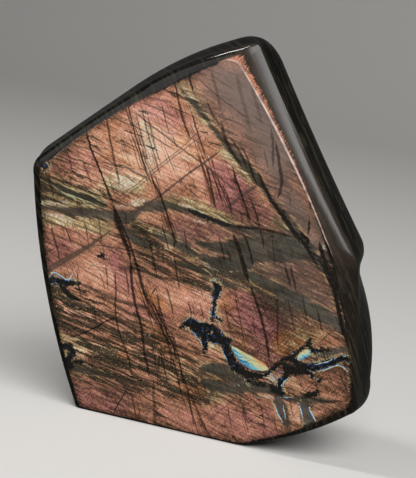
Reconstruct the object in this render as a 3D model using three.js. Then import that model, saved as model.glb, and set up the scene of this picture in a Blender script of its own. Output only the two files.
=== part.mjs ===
// A polished labradorite freeform: one thick slab of feldspar, ground to soft sides, polished all over and sawn
// flat underneath so that it stands by itself. It grew as one piece, so it is one solid.
// Lengths are millimetres and +Z is up. The origin is the middle of the flat base. The show face looks along -Y.

import * as THREE from "three";

// The two broad faces. Each is a shallow dome: it stands proud by its crown in the middle and by nothing at its
// reach. The show face stands upright and the back leans forwards, so the stone is thickest at its base.
const SHOW_FACE = { x: 8, z: 138, y: -38, lean: 0, crown: -2.5, reach: 135 };
const BACK_FACE = { x: 2, z: 122, y: 36, lean: -0.085, crown: 7, reach: 130 };

// How finely the outline and the section are divided.
const CORNER_STEPS = 6;
const SIDE_STEPS = 9;
const BEVEL_STEPS = 4;
const WALL_STEPS = 4;
const CAP_SCALES = [0.3, 0.6, 0.85];

// The stone's corners, counter-clockwise as the show face is seen. Each has a place on five closed outlines:
//   face   where the show face ends, as [x, z, round, bow]
//   brow   the ridge between the front bevel and the wall, as [x, z, round, bow, y]
//   belly  the middle of the wall, as [x, z, round, bow, y]
//   rear   where the wall turns towards the back, as [x, z, round, bow, y]
//   back   where the back face begins, as [x, z, round, bow]
// Round is how far from the corner its rounding starts, and bow is how far the side that follows swells outwards.
// Soft is the front bevel's form: 0 is a flat ground facet and 1 is a full round.
const CORNERS = [
  { name: "heel", soft: 1,
    face: [-62.5, 2, 3, 0], brow: [-66.5, 0, 4, 0, -35.5], belly: [-66.5, 0, 6, 0, 0],
    rear: [-62, 0, 8, 0, 33], back: [-54, 7, 8, 0] },
  { name: "ball", soft: 1,
    face: [61.5, 2.5, 8, 3], brow: [62.5, 0, 9, 3, -35], belly: [60, 0, 12, 2, 0],
    rear: [55, 0, 12, 2, 31], back: [48, 7, 14, 1] },
  { name: "toe", soft: 0.8,
    face: [134.5, 47, 9, 3.2], brow: [138.5, 42, 6, 0, -31], belly: [143.5, 40, 20, 4.5, 0],
    rear: [132, 43, 22, 4, 20], back: [110, 50, 22, 2] },
  { name: "notch", soft: 0.35,
    face: [110.5, 135, 9, 0], brow: [122.8, 139, 4, 0, -31], belly: [117, 138, 6, 0, 0],
    rear: [110, 134, 7, 0, 15], back: [94, 125, 9, 0] },
  { name: "shoulder", soft: 0.35,
    face: [103.5, 152.5, 9, 3], brow: [121, 147.5, 5, -1.2, -31], belly: [121, 151.5, 8, -1, -4],
    rear: [112, 149, 9, 0, 12], back: [92, 143, 12, 0] },
  { name: "apex", soft: 0.5,
    face: [17.5, 272, 9, 0], brow: [29.3, 284.2, 4, 0, -31.5], belly: [29.5, 291.5, 24, 0, -9],
    rear: [24, 280, 24, 0, 3], back: [13, 257, 22, 0] },
  { name: "ledge", soft: 1,
    face: [-14.4, 258.4, 20, 3.5], brow: [-25.4, 262.2, 40, 0.5, -28], belly: [-33, 263.5, 44, 0, -4],
    rear: [-30, 253, 44, 0, 12], back: [-20, 226, 44, 1] },
  { name: "point", soft: 1,
    face: [-115.5, 171.5, 7, 6.4], brow: [-125, 173.5, 10, 6.6, -31], belly: [-131, 175, 14, 7, -4],
    rear: [-123, 168, 15, 7, 15], back: [-102, 156, 20, 5] },
];

// How deep a broad face lies at one place.
function depth(broad, x, z) {
  const out = Math.hypot(x - broad.x, z - broad.z) / broad.reach;
  return broad.y + broad.lean * z + broad.crown * (1 - out * out);
}

// A corner's place on one of the five outlines.
function place(corner, level) {
  const [x, z, , , y] = corner[level];
  if (level === "face") return new THREE.Vector3(x, depth(SHOW_FACE, x, z), z);
  if (level === "back") return new THREE.Vector3(x, depth(BACK_FACE, x, z), z);
  return new THREE.Vector3(x, y, z);
}

// The point from which a corner's rounding turns off towards its neighbour. Where two rounds would take up the
// whole side between them, they share nearly all of it.
function roundStart(corner, neighbour, level) {
  const here = place(corner, level);
  const side = place(neighbour, level).sub(here);
  const [, , own] = corner[level];
  const [, , other] = neighbour[level];
  const share = Math.min(1, 0.9 * side.length() / (own + other));
  return side.setLength(own * share).add(here);
}

// One closed outline: a round at each corner, and a side that swells by its bow between one round and the next.
function outline(level) {
  return CORNERS.flatMap((corner, i) => {
    const before = CORNERS[(i + CORNERS.length - 1) % CORNERS.length];
    const after = CORNERS[(i + 1) % CORNERS.length];
    const from = roundStart(corner, before, level);
    const to = roundStart(corner, after, level);
    const round = new THREE.QuadraticBezierCurve3(from, place(corner, level), to);

    const end = roundStart(after, corner, level);
    const outwards = new THREE.Vector3(end.z - to.z, 0, to.x - end.x).normalize();
    const swell = to.clone().add(end).multiplyScalar(0.5).addScaledVector(outwards, 2 * corner[level][3]);
    const side = new THREE.QuadraticBezierCurve3(to, swell, end);
    return [...round.getPoints(CORNER_STEPS), ...side.getPoints(SIDE_STEPS).slice(1, -1)];
  });
}

// The softness of the front bevel at each point of an outline. It changes evenly from the middle of one corner's
// round to the middle of the next.
function softness() {
  const count = CORNER_STEPS + SIDE_STEPS;
  return CORNERS.flatMap((corner, i) => {
    const before = CORNERS[(i + CORNERS.length - 1) % CORNERS.length];
    const after = CORNERS[(i + 1) % CORNERS.length];
    return Array.from({ length: count }, (_, k) => {
      const along = (k - CORNER_STEPS / 2) / count;
      return THREE.MathUtils.lerp(corner.soft, along < 0 ? before.soft : after.soft, Math.abs(along));
    });
  });
}

// A broad face's rings, from its middle to its edge.
function capRings(broad, edge) {
  return CAP_SCALES.map((scale) => edge.map((p) => {
    const x = THREE.MathUtils.lerp(broad.x, p.x, scale);
    const z = THREE.MathUtils.lerp(broad.z, p.z, scale);
    return new THREE.Vector3(x, depth(broad, x, z), z);
  }));
}

// The front bevel's rings, after the face's edge. A round bevel bends through the place where the face would meet
// the wall, and a ground facet runs straight.
function bevelRings(face, brow) {
  const soft = softness();
  const curves = face.map((p, k) => {
    const q = brow[k];
    const bend = p.clone().add(q).multiplyScalar(0.5).lerp(new THREE.Vector3(q.x, p.y, q.z), soft[k]);
    return new THREE.QuadraticBezierCurve3(p, bend, q);
  });
  return Array.from({ length: BEVEL_STEPS }, (_, s) => curves.map((c) => c.getPoint((s + 1) / BEVEL_STEPS)));
}

// The wall's rings, after the brow: one smooth curve through the belly and the rear that runs into the back face.
// The saw cut leaves nothing below the base.
function wallRings(brow, belly, rear, back, backCap) {
  const curves = brow.map((p, k) =>
    new THREE.CatmullRomCurve3([p, belly[k], rear[k], back[k], backCap[k]], false, "centripetal"));
  return Array.from({ length: 3 * WALL_STEPS }, (_, s) => curves.map((c) => {
    const p = c.getPoint((s + 1) / (4 * WALL_STEPS));
    return p.setZ(Math.max(p.z, 0));
  }));
}

// The whole skin, as rings from the middle of the show face, over the wall, to the middle of the back.
function stoneRings() {
  const [face, brow, belly, rear, back] = ["face", "brow", "belly", "rear", "back"].map(outline);
  const backCap = capRings(BACK_FACE, back).reverse();
  return [
    ...capRings(SHOW_FACE, face),
    face,
    ...bevelRings(face, brow),
    ...wallRings(brow, belly, rear, back, backCap[0]),
    ...backCap,
  ];
}

// Joins the rings and the two middles into one closed surface whose triangles face outwards.
function skin(rings, first, last) {
  const count = rings[0].length;
  const firstIndex = rings.length * count;
  const lastIndex = firstIndex + 1;
  const lastRing = firstIndex - count;
  const triangles = [];
  for (let k = 0; k < count; k++) {
    const n = (k + 1) % count;
    triangles.push(firstIndex, k, n);
    for (let r = 0; r < lastRing; r += count) {
      triangles.push(r + k, r + count + k, r + count + n);
      triangles.push(r + k, r + count + n, r + n);
    }
    triangles.push(lastRing + k, lastIndex, lastRing + n);
  }
  const vertices = [...rings.flat(), first, last].flatMap((p) => [p.x, p.y, p.z]);
  const geometry = new THREE.BufferGeometry();
  geometry.setAttribute("position", new THREE.Float32BufferAttribute(vertices, 3));
  geometry.setIndex(triangles);
  geometry.computeVertexNormals();
  return geometry;
}

// The middle of a broad face.
const middle = (broad) => new THREE.Vector3(broad.x, depth(broad, broad.x, broad.z), broad.z);

const polished = new THREE.MeshStandardMaterial({ color: 0xa8705c, roughness: 0.15, metalness: 0 });

const stone = new THREE.Mesh(skin(stoneRings(), middle(SHOW_FACE), middle(BACK_FACE)), polished);
stone.name = "stone";

const labradorite = new THREE.Group();
labradorite.name = "polished_labradorite";
labradorite.add(stone);

export default labradorite;
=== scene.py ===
# %% [markdown]
# A polished labradorite freeform, dressed for its photograph.
#
# The real thing is one slab of feldspar, ground to soft sides, sawn flat underneath and polished. Its look
# has two halves. The form is quiet: a nearly flat show face, a ground facet on the right, round bevels
# elsewhere. The stone inside is busy: thin layers throw back salmon, rose and gold light, grey bands throw
# back none, and cracks, needles and blue-rimmed veins cross the lot. So the mesh is made by a few curves,
# and most of the work is in one shader.

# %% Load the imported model
import math

import bpy
import numpy as np
from mathutils import Matrix, Vector
from mathutils.geometry import delaunay_2d_cdt


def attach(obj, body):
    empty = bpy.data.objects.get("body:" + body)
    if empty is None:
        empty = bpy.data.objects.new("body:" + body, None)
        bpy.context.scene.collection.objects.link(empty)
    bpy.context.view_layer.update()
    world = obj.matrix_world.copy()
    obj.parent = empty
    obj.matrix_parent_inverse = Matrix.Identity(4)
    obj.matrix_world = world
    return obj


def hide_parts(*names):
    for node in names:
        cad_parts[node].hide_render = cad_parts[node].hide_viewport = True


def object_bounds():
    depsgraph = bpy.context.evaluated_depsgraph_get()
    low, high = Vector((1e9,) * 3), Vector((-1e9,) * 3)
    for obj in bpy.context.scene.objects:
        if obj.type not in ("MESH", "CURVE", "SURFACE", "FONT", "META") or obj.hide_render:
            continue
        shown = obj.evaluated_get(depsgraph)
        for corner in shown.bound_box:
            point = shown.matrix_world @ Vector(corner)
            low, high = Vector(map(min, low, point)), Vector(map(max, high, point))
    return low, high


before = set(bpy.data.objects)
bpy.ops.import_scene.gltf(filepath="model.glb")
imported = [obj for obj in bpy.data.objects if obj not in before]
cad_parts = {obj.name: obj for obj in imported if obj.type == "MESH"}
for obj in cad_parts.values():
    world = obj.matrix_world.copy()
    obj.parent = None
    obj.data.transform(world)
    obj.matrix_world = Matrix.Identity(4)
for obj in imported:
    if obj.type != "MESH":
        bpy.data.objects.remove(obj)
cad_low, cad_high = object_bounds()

MM = 0.001
STONE = "stone"
print("the solid to dress runs from", tuple(cad_low), "to", tuple(cad_high))

# %% [markdown]
# The camera comes first, because the markings of the stone are drawn where the photograph shows them. A
# marking is named by its pixel in the 416 by 478 picture, and on_face sends that pixel back along the
# camera's ray to the show face. The stone stands level on its sawn base, and the photograph leans to one
# side, so the camera is rolled.

# %% Camera
PICTURE_WIDTH, PICTURE_HEIGHT = 416, 478
LENS = 120.0
SENSOR = 36.0
AZIMUTH, ELEVATION, ROLL = (math.radians(a) for a in (15.0, 12.0, 8.10252535))
DISTANCE = 1115.0
AIM = np.array([15.33381, -38.0, 143.5138])
FOCAL_PIXELS = LENS / SENSOR * PICTURE_HEIGHT

BACKWARDS = np.array([
    math.sin(AZIMUTH) * math.cos(ELEVATION),
    -math.cos(AZIMUTH) * math.cos(ELEVATION),
    math.sin(ELEVATION),
])
LEVEL_RIGHT = np.array([math.cos(AZIMUTH), math.sin(AZIMUTH), 0.0])
LEVEL_UP = np.cross(BACKWARDS, LEVEL_RIGHT)
RIGHT = math.cos(ROLL) * LEVEL_RIGHT + math.sin(ROLL) * LEVEL_UP
UP = math.cos(ROLL) * LEVEL_UP - math.sin(ROLL) * LEVEL_RIGHT
EYE = AIM + BACKWARDS * DISTANCE

camera_data = bpy.data.cameras.new("camera")
camera_data.lens = LENS
camera_data.sensor_width = SENSOR
camera_data.clip_start = 0.05
camera_data.clip_end = 20.0
camera = bpy.data.objects.new("camera", camera_data)
turn = Matrix((RIGHT, UP, BACKWARDS)).transposed().to_4x4()
camera.matrix_world = Matrix.Translation(Vector(EYE * MM)) @ turn
bpy.context.scene.collection.objects.link(camera)
bpy.context.scene.camera = camera
print("camera at", camera.matrix_world.translation)

# %% [markdown]
# Eight corners carry the whole form. Each has a place on five closed outlines: where the show face ends,
# the brow where the bevel meets the wall, the belly of the wall, the rear where it turns in, and the edge
# of the back face. These are the same driving sizes as the solid's, in millimetres, so the fine mesh lies
# on the solid. A subdivision of the coarse solid would be quicker, but polish shows every wrinkle that its
# long triangles leave.

# %% The corners and the broad faces
SHOW_FACE = {"x": 8, "z": 138, "y": -38, "lean": 0, "crown": -2.5, "reach": 135}
BACK_FACE = {"x": 2, "z": 122, "y": 36, "lean": -0.085, "crown": 7, "reach": 130}

# Face and back are x, z, round, bow, and brow, belly and rear are x, z, round, bow, y.
CORNERS = [
    {"name": "heel", "soft": 1, "face": (-62.5, 2, 3, 0), "brow": (-66.5, 0, 4, 0, -35.5),
     "belly": (-66.5, 0, 6, 0, 0), "rear": (-62, 0, 8, 0, 33), "back": (-54, 7, 8, 0)},
    {"name": "ball", "soft": 1, "face": (61.5, 2.5, 8, 3), "brow": (62.5, 0, 9, 3, -35),
     "belly": (60, 0, 12, 2, 0), "rear": (55, 0, 12, 2, 31), "back": (48, 7, 14, 1)},
    {"name": "toe", "soft": 0.8, "face": (134.5, 47, 9, 3.2), "brow": (138.5, 42, 6, 0, -31),
     "belly": (143.5, 40, 20, 4.5, 0), "rear": (132, 43, 22, 4, 20), "back": (110, 50, 22, 2)},
    {"name": "notch", "soft": 0.35, "face": (110.5, 135, 9, 0), "brow": (122.8, 139, 4, 0, -31),
     "belly": (117, 138, 6, 0, 0), "rear": (110, 134, 7, 0, 15), "back": (94, 125, 9, 0)},
    {"name": "shoulder", "soft": 0.35, "face": (103.5, 152.5, 9, 3), "brow": (121, 147.5, 5, -1.2, -31),
     "belly": (121, 151.5, 8, -1, -4), "rear": (112, 149, 9, 0, 12), "back": (92, 143, 12, 0)},
    {"name": "apex", "soft": 0.5, "face": (17.5, 272, 9, 0), "brow": (29.3, 284.2, 4, 0, -31.5),
     "belly": (29.5, 291.5, 24, 0, -9), "rear": (24, 280, 24, 0, 3), "back": (13, 257, 22, 0)},
    {"name": "ledge", "soft": 1, "face": (-14.4, 258.4, 20, 3.5), "brow": (-25.4, 262.2, 40, 0.5, -28),
     "belly": (-33, 263.5, 44, 0, -4), "rear": (-30, 253, 44, 0, 12), "back": (-20, 226, 44, 1)},
    {"name": "point", "soft": 1, "face": (-115.5, 171.5, 7, 6.4), "brow": (-125, 173.5, 10, 6.6, -31),
     "belly": (-131, 175, 14, 7, -4), "rear": (-123, 168, 15, 7, 15), "back": (-102, 156, 20, 5)},
]


def depth(broad, x, z):
    """How deep a broad face lies. It is a shallow dome, highest at its middle."""
    out = np.hypot(x - broad["x"], z - broad["z"]) / broad["reach"]
    return broad["y"] + broad["lean"] * z + broad["crown"] * (1 - out * out)


def on_face(pixel):
    """The place on the show face, as x and z in millimetres, that a pixel of the photograph shows."""
    across = (pixel[0] - PICTURE_WIDTH / 2) / FOCAL_PIXELS
    down = (pixel[1] - PICTURE_HEIGHT / 2) / FOCAL_PIXELS
    ray = across * RIGHT - down * UP - BACKWARDS
    y = SHOW_FACE["y"]
    for _ in range(3):
        hit = EYE + ray * (y - EYE[1]) / ray[1]
        y = depth(SHOW_FACE, hit[0], hit[2])
    return hit[[0, 2]]


print("the middle of the picture shows x, z =", on_face((208, 239)).round(1), "mm")

# %% [markdown]
# An outline runs round the corners: a quadratic curve rounds each corner, and a second one swells each side
# by its bow. The number of steps on a side follows its length, so that points lie evenly all round. The
# solid's softness of the front bevel is spread along the outline in the same way as in the solid.

# %% Outlines
STEP = 1.7
ROUND_STEPS = 10
SOLID_ROUND_STEPS, SOLID_SIDE_STEPS = 6, 9


def quadratic(start, bend, end, t):
    """Points of a quadratic curve. The ends may be one point or one for each t."""
    t = np.asarray(t, float)[..., None]
    return (1 - t) ** 2 * start + 2 * t * (1 - t) * bend + t * t * end


def place(corner, level):
    """A corner's place on one of the outlines."""
    x, z = corner[level][:2]
    if level in ("face", "back"):
        return np.array([x, depth(SHOW_FACE if level == "face" else BACK_FACE, x, z), z], float)
    return np.array([x, corner[level][4], z], float)


def round_start(corner, neighbour, level):
    """Where a corner's rounding turns off the side that leads to its neighbour."""
    here = place(corner, level)
    side = place(neighbour, level) - here
    length = np.linalg.norm(side)
    share = min(1, 0.9 * length / (corner[level][2] + neighbour[level][2]))
    return here + side / length * corner[level][2] * share


def neighbours(i):
    """The corners before and after corner i."""
    return CORNERS[i - 1], CORNERS[(i + 1) % len(CORNERS)]


SIDE_STEPS = []
for i, corner in enumerate(CORNERS):
    after = neighbours(i)[1]
    gap = round_start(after, corner, "belly") - round_start(corner, after, "belly")
    SIDE_STEPS.append(max(6, round(float(np.linalg.norm(gap)) / STEP)))


def outline(level):
    """One closed outline, counter-clockwise as the show face is seen."""
    points = []
    for i, corner in enumerate(CORNERS):
        before, after = neighbours(i)
        start, end = round_start(corner, before, level), round_start(corner, after, level)
        far = round_start(after, corner, level)
        outwards = np.array([far[2] - end[2], 0, end[0] - far[0]])
        outwards = outwards / np.linalg.norm(outwards)
        swell = (end + far) / 2 + outwards * 2 * corner[level][3]
        points.append(quadratic(start, place(corner, level), end, np.linspace(0, 1, ROUND_STEPS + 1)))
        points.append(quadratic(end, swell, far, np.linspace(0, 1, SIDE_STEPS[i] + 1)[1:-1]))
    return np.concatenate(points)


def around(before, own, after):
    """Spreads a value of each corner along the outline, evenly from one corner's middle to the next."""
    values = []
    for i in range(len(CORNERS)):
        index = np.concatenate([
            np.linspace(0, SOLID_ROUND_STEPS, ROUND_STEPS + 1),
            SOLID_ROUND_STEPS + SOLID_SIDE_STEPS * np.linspace(0, 1, SIDE_STEPS[i] + 1)[1:-1],
        ])
        along = (index - SOLID_ROUND_STEPS / 2) / (SOLID_ROUND_STEPS + SOLID_SIDE_STEPS)
        other = np.where(along < 0, before(i), after(i))
        values.append(own(i) + (other - own(i)) * np.abs(along))
    return np.concatenate(values)


def corner_value(key):
    """One of the corners' values, spread along the outline."""
    return around(
        lambda i: neighbours(i)[0][key], lambda i: CORNERS[i][key], lambda i: neighbours(i)[1][key])


FACE, BROW, BELLY, REAR, BACK = (outline(level) for level in ("face", "brow", "belly", "rear", "back"))
COUNT = len(FACE)
print("each outline has", COUNT, "points")

# %% [markdown]
# A section runs from the show face over the bevel and the wall to the back. The bevel is one quadratic
# curve and the wall one centripetal Catmull-Rom curve, as on the solid. Hand polishing leaves no edge
# sharp, so each of the two ridges gets a fillet under a millimetre wide. It is small, but it is what draws
# the thin white line of a lamp along a ridge. Beside the ground facet a painted highlight lies along it too.

# %% Sections
FILLET = 0.9
BEVEL_STEPS = 12
WALL_STEPS = 7
BACK_SCALES = (0.97, 0.93, 0.85, 0.72, 0.55, 0.36, 0.16)
soft = corner_value("soft")[:, None]


def toward(start, end, length):
    """The point at a given length from start, on the way to end."""
    way = end - start
    return start + way / np.linalg.norm(way, axis=1, keepdims=True) * length


def catmull(points, t):
    """A centripetal Catmull-Rom curve through rows of points, at t from 0 to 1."""
    pieces = len(points) - 1
    spot = t * pieces
    piece = min(int(spot), pieces - 1)
    local = spot - piece
    p1, p2 = points[piece], points[piece + 1]
    p0 = points[piece - 1] if piece > 0 else 2 * p1 - p2
    p3 = points[piece + 2] if piece + 2 <= pieces else 2 * p2 - p1
    gaps = [np.sqrt(np.linalg.norm(b - a, axis=1, keepdims=True)) for a, b in ((p0, p1), (p1, p2), (p2, p3))]
    g0, g1, g2 = (np.maximum(g, 1e-4) for g in gaps)
    slope1 = ((p1 - p0) / g0 - (p2 - p0) / (g0 + g1) + (p2 - p1) / g1) * g1
    slope2 = ((p2 - p1) / g1 - (p3 - p1) / (g1 + g2) + (p3 - p2) / g2) * g1
    c2 = -3 * p1 + 3 * p2 - 2 * slope1 - slope2
    c3 = 2 * p1 - 2 * p2 + slope1 + slope2
    return p1 + slope1 * local + c2 * local ** 2 + c3 * local ** 3


def toward_middle(broad, edge, scale):
    """A ring of a broad face, drawn in from its edge to the face's middle."""
    x = broad["x"] + (edge[:, 0] - broad["x"]) * scale
    z = broad["z"] + (edge[:, 2] - broad["z"]) * scale
    return np.stack([x, depth(broad, x, z), z], 1)


def inset(edge, amount):
    """A ring of the show face, a given distance inside its edge."""
    middle = np.array([SHOW_FACE["x"], 0, SHOW_FACE["z"]])
    way = (middle - edge) * (1, 0, 1)
    moved = edge + way / np.linalg.norm(way, axis=1, keepdims=True) * amount
    moved[:, 1] = depth(SHOW_FACE, moved[:, 0], moved[:, 2])
    return moved


back_inner = toward_middle(BACK_FACE, BACK, 0.85)
bend = (FACE + BROW) / 2
bend = bend + (np.stack([BROW[:, 0], FACE[:, 1], BROW[:, 2]], 1) - bend) * soft
wall_posts = [BROW, BELLY, REAR, BACK, back_inner]

face_side = inset(FACE, FILLET)
bevel_start = toward(FACE, bend, FILLET)
bevel_end = toward(BROW, bend, FILLET)
wall_start = toward(BROW, catmull(wall_posts, 0.02), FILLET)

rings = [inset(FACE, amount) for amount in (2.6, 1.6)]
rings += [quadratic(face_side, FACE, bevel_start, t) for t in (0, 0.25, 0.5, 0.75, 1)]
rings += [quadratic(FACE, bend, BROW, t) for t in np.linspace(0, 1, BEVEL_STEPS + 1)[1:-1]]
rings += [quadratic(bevel_end, BROW, wall_start, t) for t in (0, 0.25, 0.5, 0.75, 1)]
rings += [catmull(wall_posts, t / (4 * WALL_STEPS)) for t in range(1, 3 * WALL_STEPS)]
rings += [toward_middle(BACK_FACE, BACK, s) for s in (1.0,) + BACK_SCALES]
rings = np.array(rings)
rings[..., 2] = np.maximum(rings[..., 2], 0)
print(len(rings), "rings of", COUNT, "points")

# %% [markdown]
# The rings join into the skin outside the show face. The face itself gets an even net of small triangles,
# because its points also carry how far the nearest band, vein or edge is, and the finer the net, the truer
# these distances. A constrained triangulation knits the net to the innermost ring.

# %% The stone's mesh
NET = 1.15


def inside(points, loop):
    """Which 2-D points lie within a closed loop."""
    result = np.zeros(len(points), bool)
    for a, b in zip(loop, np.roll(loop, -1, axis=0)):
        crosses = (a[1] > points[:, 1]) != (b[1] > points[:, 1])
        if a[1] != b[1]:
            reach = (b[0] - a[0]) * (points[:, 1] - a[1]) / (b[1] - a[1]) + a[0]
            result ^= crosses & (points[:, 0] < reach)
    return result


def net_points(loop, margin_loop):
    """The knots of a triangular net inside a loop."""
    low, high = loop.min(0), loop.max(0)
    knots = []
    for row, z in enumerate(np.arange(low[1], high[1], NET * math.sqrt(0.75))):
        x = np.arange(low[0] + (row % 2) * NET / 2, high[0], NET)
        knots.append(np.stack([x, np.full_like(x, z)], 1))
    knots = np.concatenate(knots)
    return knots[inside(knots, margin_loop)]


NET_MARGIN = 3.2
rim = rings[0][:, [0, 2]]
knots = net_points(rim, inset(FACE, NET_MARGIN)[:, [0, 2]])
flat = np.concatenate([rim, knots])
loop_edges = [(k, (k + 1) % COUNT) for k in range(COUNT)]
net = delaunay_2d_cdt([Vector(p) for p in flat], loop_edges, [], 1, 1e-5)
original = [source[0] for source in net[3]]
net_faces = [tuple(original[i] for i in face) for face in net[2]]

knot_points = np.stack([knots[:, 0], depth(SHOW_FACE, knots[:, 0], knots[:, 1]), knots[:, 1]], 1)
ring_points = rings.reshape(-1, 3)
back_middle = np.array([[BACK_FACE["x"], depth(BACK_FACE, BACK_FACE["x"], BACK_FACE["z"]), BACK_FACE["z"]]])
points = np.concatenate([ring_points, knot_points, back_middle])
points = np.clip(points, np.array(cad_low) / MM, np.array(cad_high) / MM)

shift = len(ring_points) - COUNT
faces = [tuple(i if i < COUNT else i + shift for i in face) for face in net_faces]
for r in range(len(rings) - 1):
    low_ring, high_ring = r * COUNT, (r + 1) * COUNT
    for k in range(COUNT):
        n = (k + 1) % COUNT
        faces.append((low_ring + k, high_ring + k, high_ring + n, low_ring + n))
last_ring = (len(rings) - 1) * COUNT
faces += [(last_ring + k, len(points) - 1, last_ring + (k + 1) % COUNT) for k in range(COUNT)]

mesh = bpy.data.meshes.new("polished_stone")
mesh.from_pydata(points * MM, [], faces)
mesh.validate()
print(len(mesh.vertices), "points,", sum(len(f) - 2 for f in faces), "triangles")

# %% [markdown]
# The layers of the crystal lean, so a marking that cuts the show face runs on through the stone and comes
# out a little aside on the back. The shader and the drawn distances use the same leaning ground for that.
# Distances are worked out here, once for each point of the mesh, and stored as attributes. The shader then
# turns a smooth distance into a ragged band, which stays sharp however close the camera comes.

# %% Distances to drawn strokes
LEAN = np.array([0.45, 0.28])
ground = points[:, [0, 2]] + np.outer(points[:, 1] - SHOW_FACE["y"], LEAN)


def to_segment(spots, a, b):
    """Distance from each spot to a segment, and how far along the segment its nearest point is."""
    way = b - a
    along = np.clip((spots - a) @ way / (way @ way), 0, 1)
    return np.linalg.norm(spots - a - along[:, None] * way, axis=1), along


def to_path(*stops):
    """Distance to a brush stroke's edge. A stop is a photo pixel and the stroke's half width in mm."""
    nearest = np.full(len(ground), 1e3)
    for (ax, ay, a_half), (bx, by, b_half) in zip(stops, stops[1:]):
        away, along = to_segment(ground, on_face((ax, ay)), on_face((bx, by)))
        nearest = np.minimum(nearest, away - a_half - (b_half - a_half) * along)
    return nearest


def to_strokes(paths):
    """Distance to the nearest edge of any of these strokes, negative inside."""
    return np.min([to_path(*path) for path in paths], axis=0)


def zone(*strokes):
    """A soft field: a stroke adds its strength, fading over its reach in mm from a line of photo pixels."""
    field = np.zeros(len(ground))
    for strength, reach, *line in strokes:
        line = line * 2 if len(line) == 1 else line
        away = np.full(len(ground), 1e3)
        for a, b in zip(line, line[1:]):
            start, end = on_face(a), on_face(b) + (1e-4, 0)
            away = np.minimum(away, to_segment(ground, start, end)[0])
        field += strength * np.exp(-((away / reach) ** 2))
    return field


def store(name, values):
    """Writes one number for each point of the mesh."""
    mesh.attributes.new(name, "FLOAT", "POINT").data.foreach_set("value", values.astype(np.float32))
    print(f"{name}: {values.min():.2f} to {values.max():.2f}")


# %% [markdown]
# Where the stone flashes: labradorite throws light back from layers that lie almost along the show face.
# The bevels cut across them and stay dark, except beside the upper right ridge, where the light spills
# over. So the flash follows the distance from the edge of the face, less a spill that belongs to each side.
# The ground facet at the right has its own satin look, and a second value says how much of it each part of
# the bevel has. Two more values follow. One marks the sharp ridge where that facet meets the face, where a
# pale painted highlight is laid. The other is the plain distance beyond the face's edge, without the spill.

# %% The flash, its edge and the ground facet
SPILL = {
    "heel": 1.2, "ball": 0.5, "toe": 0, "notch": -2, "shoulder": -3, "apex": 4.6, "ledge": -3, "point": 1.4,
}
SATIN = {
    "heel": 0, "ball": 0, "toe": 0.1, "notch": 0.45, "shoulder": 0.75, "apex": 0.9, "ledge": 0.1, "point": 0,
}
for corner in CORNERS:
    corner["spill"] = SPILL[corner["name"]]
    corner["satin"] = SATIN[corner["name"]]
spill = corner_value("spill")

FAR = 99
beyond = np.zeros((len(rings), COUNT))
steps = np.linalg.norm(np.diff(rings, axis=0), axis=2)
edge_ring = 4
brow_ring = 7 + BEVEL_STEPS
beyond[edge_ring + 1:] = np.cumsum(steps[edge_ring:], axis=0)
beyond[:edge_ring] = -np.cumsum(steps[:edge_ring][::-1], axis=0)[::-1]
ring_flash = (spill - beyond).reshape(-1)

edge_loop = FACE[:, [0, 2]]
knot_flash = np.full(len(knots), 1e3)
for k in range(COUNT):
    away, along = to_segment(knots, edge_loop[k], edge_loop[(k + 1) % COUNT])
    knot_flash = np.minimum(knot_flash, away + spill[k])
store("flash", np.concatenate([ring_flash, knot_flash, [-FAR]]))

satin = np.zeros((len(rings), COUNT))
satin[edge_ring:brow_ring + 1] = corner_value("satin")
store("satin", np.concatenate([satin.reshape(-1), np.zeros(len(knots) + 1)]))

# The ridge value places a painted highlight along the ridge where the ground facet meets the face.
RIDGE_REACH = 3
ridge = np.clip(1 - np.abs(beyond) / RIDGE_REACH, 0, 1) * np.clip(corner_value("satin") * 3 - 1.4, 0, 1)
store("ridge", np.concatenate([ridge.reshape(-1), np.zeros(len(knots) + 1)]))
store("edge", np.concatenate([beyond.reshape(-1), np.full(len(knots) + 1, -FAR)]))

# %% [markdown]
# Grey bands: healed zones whose layers lie at another angle and throw nothing back. One crosses the middle
# of the face, one follows a bundle of cracks from the top down the right side, and others branch off.
# Veins: open or filled cracks, nearly black. Each is a brush stroke with a width at every stop. The stripe is
# one thin taupe layer that crosses the face at a slant, and its distance is stored by itself.

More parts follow.
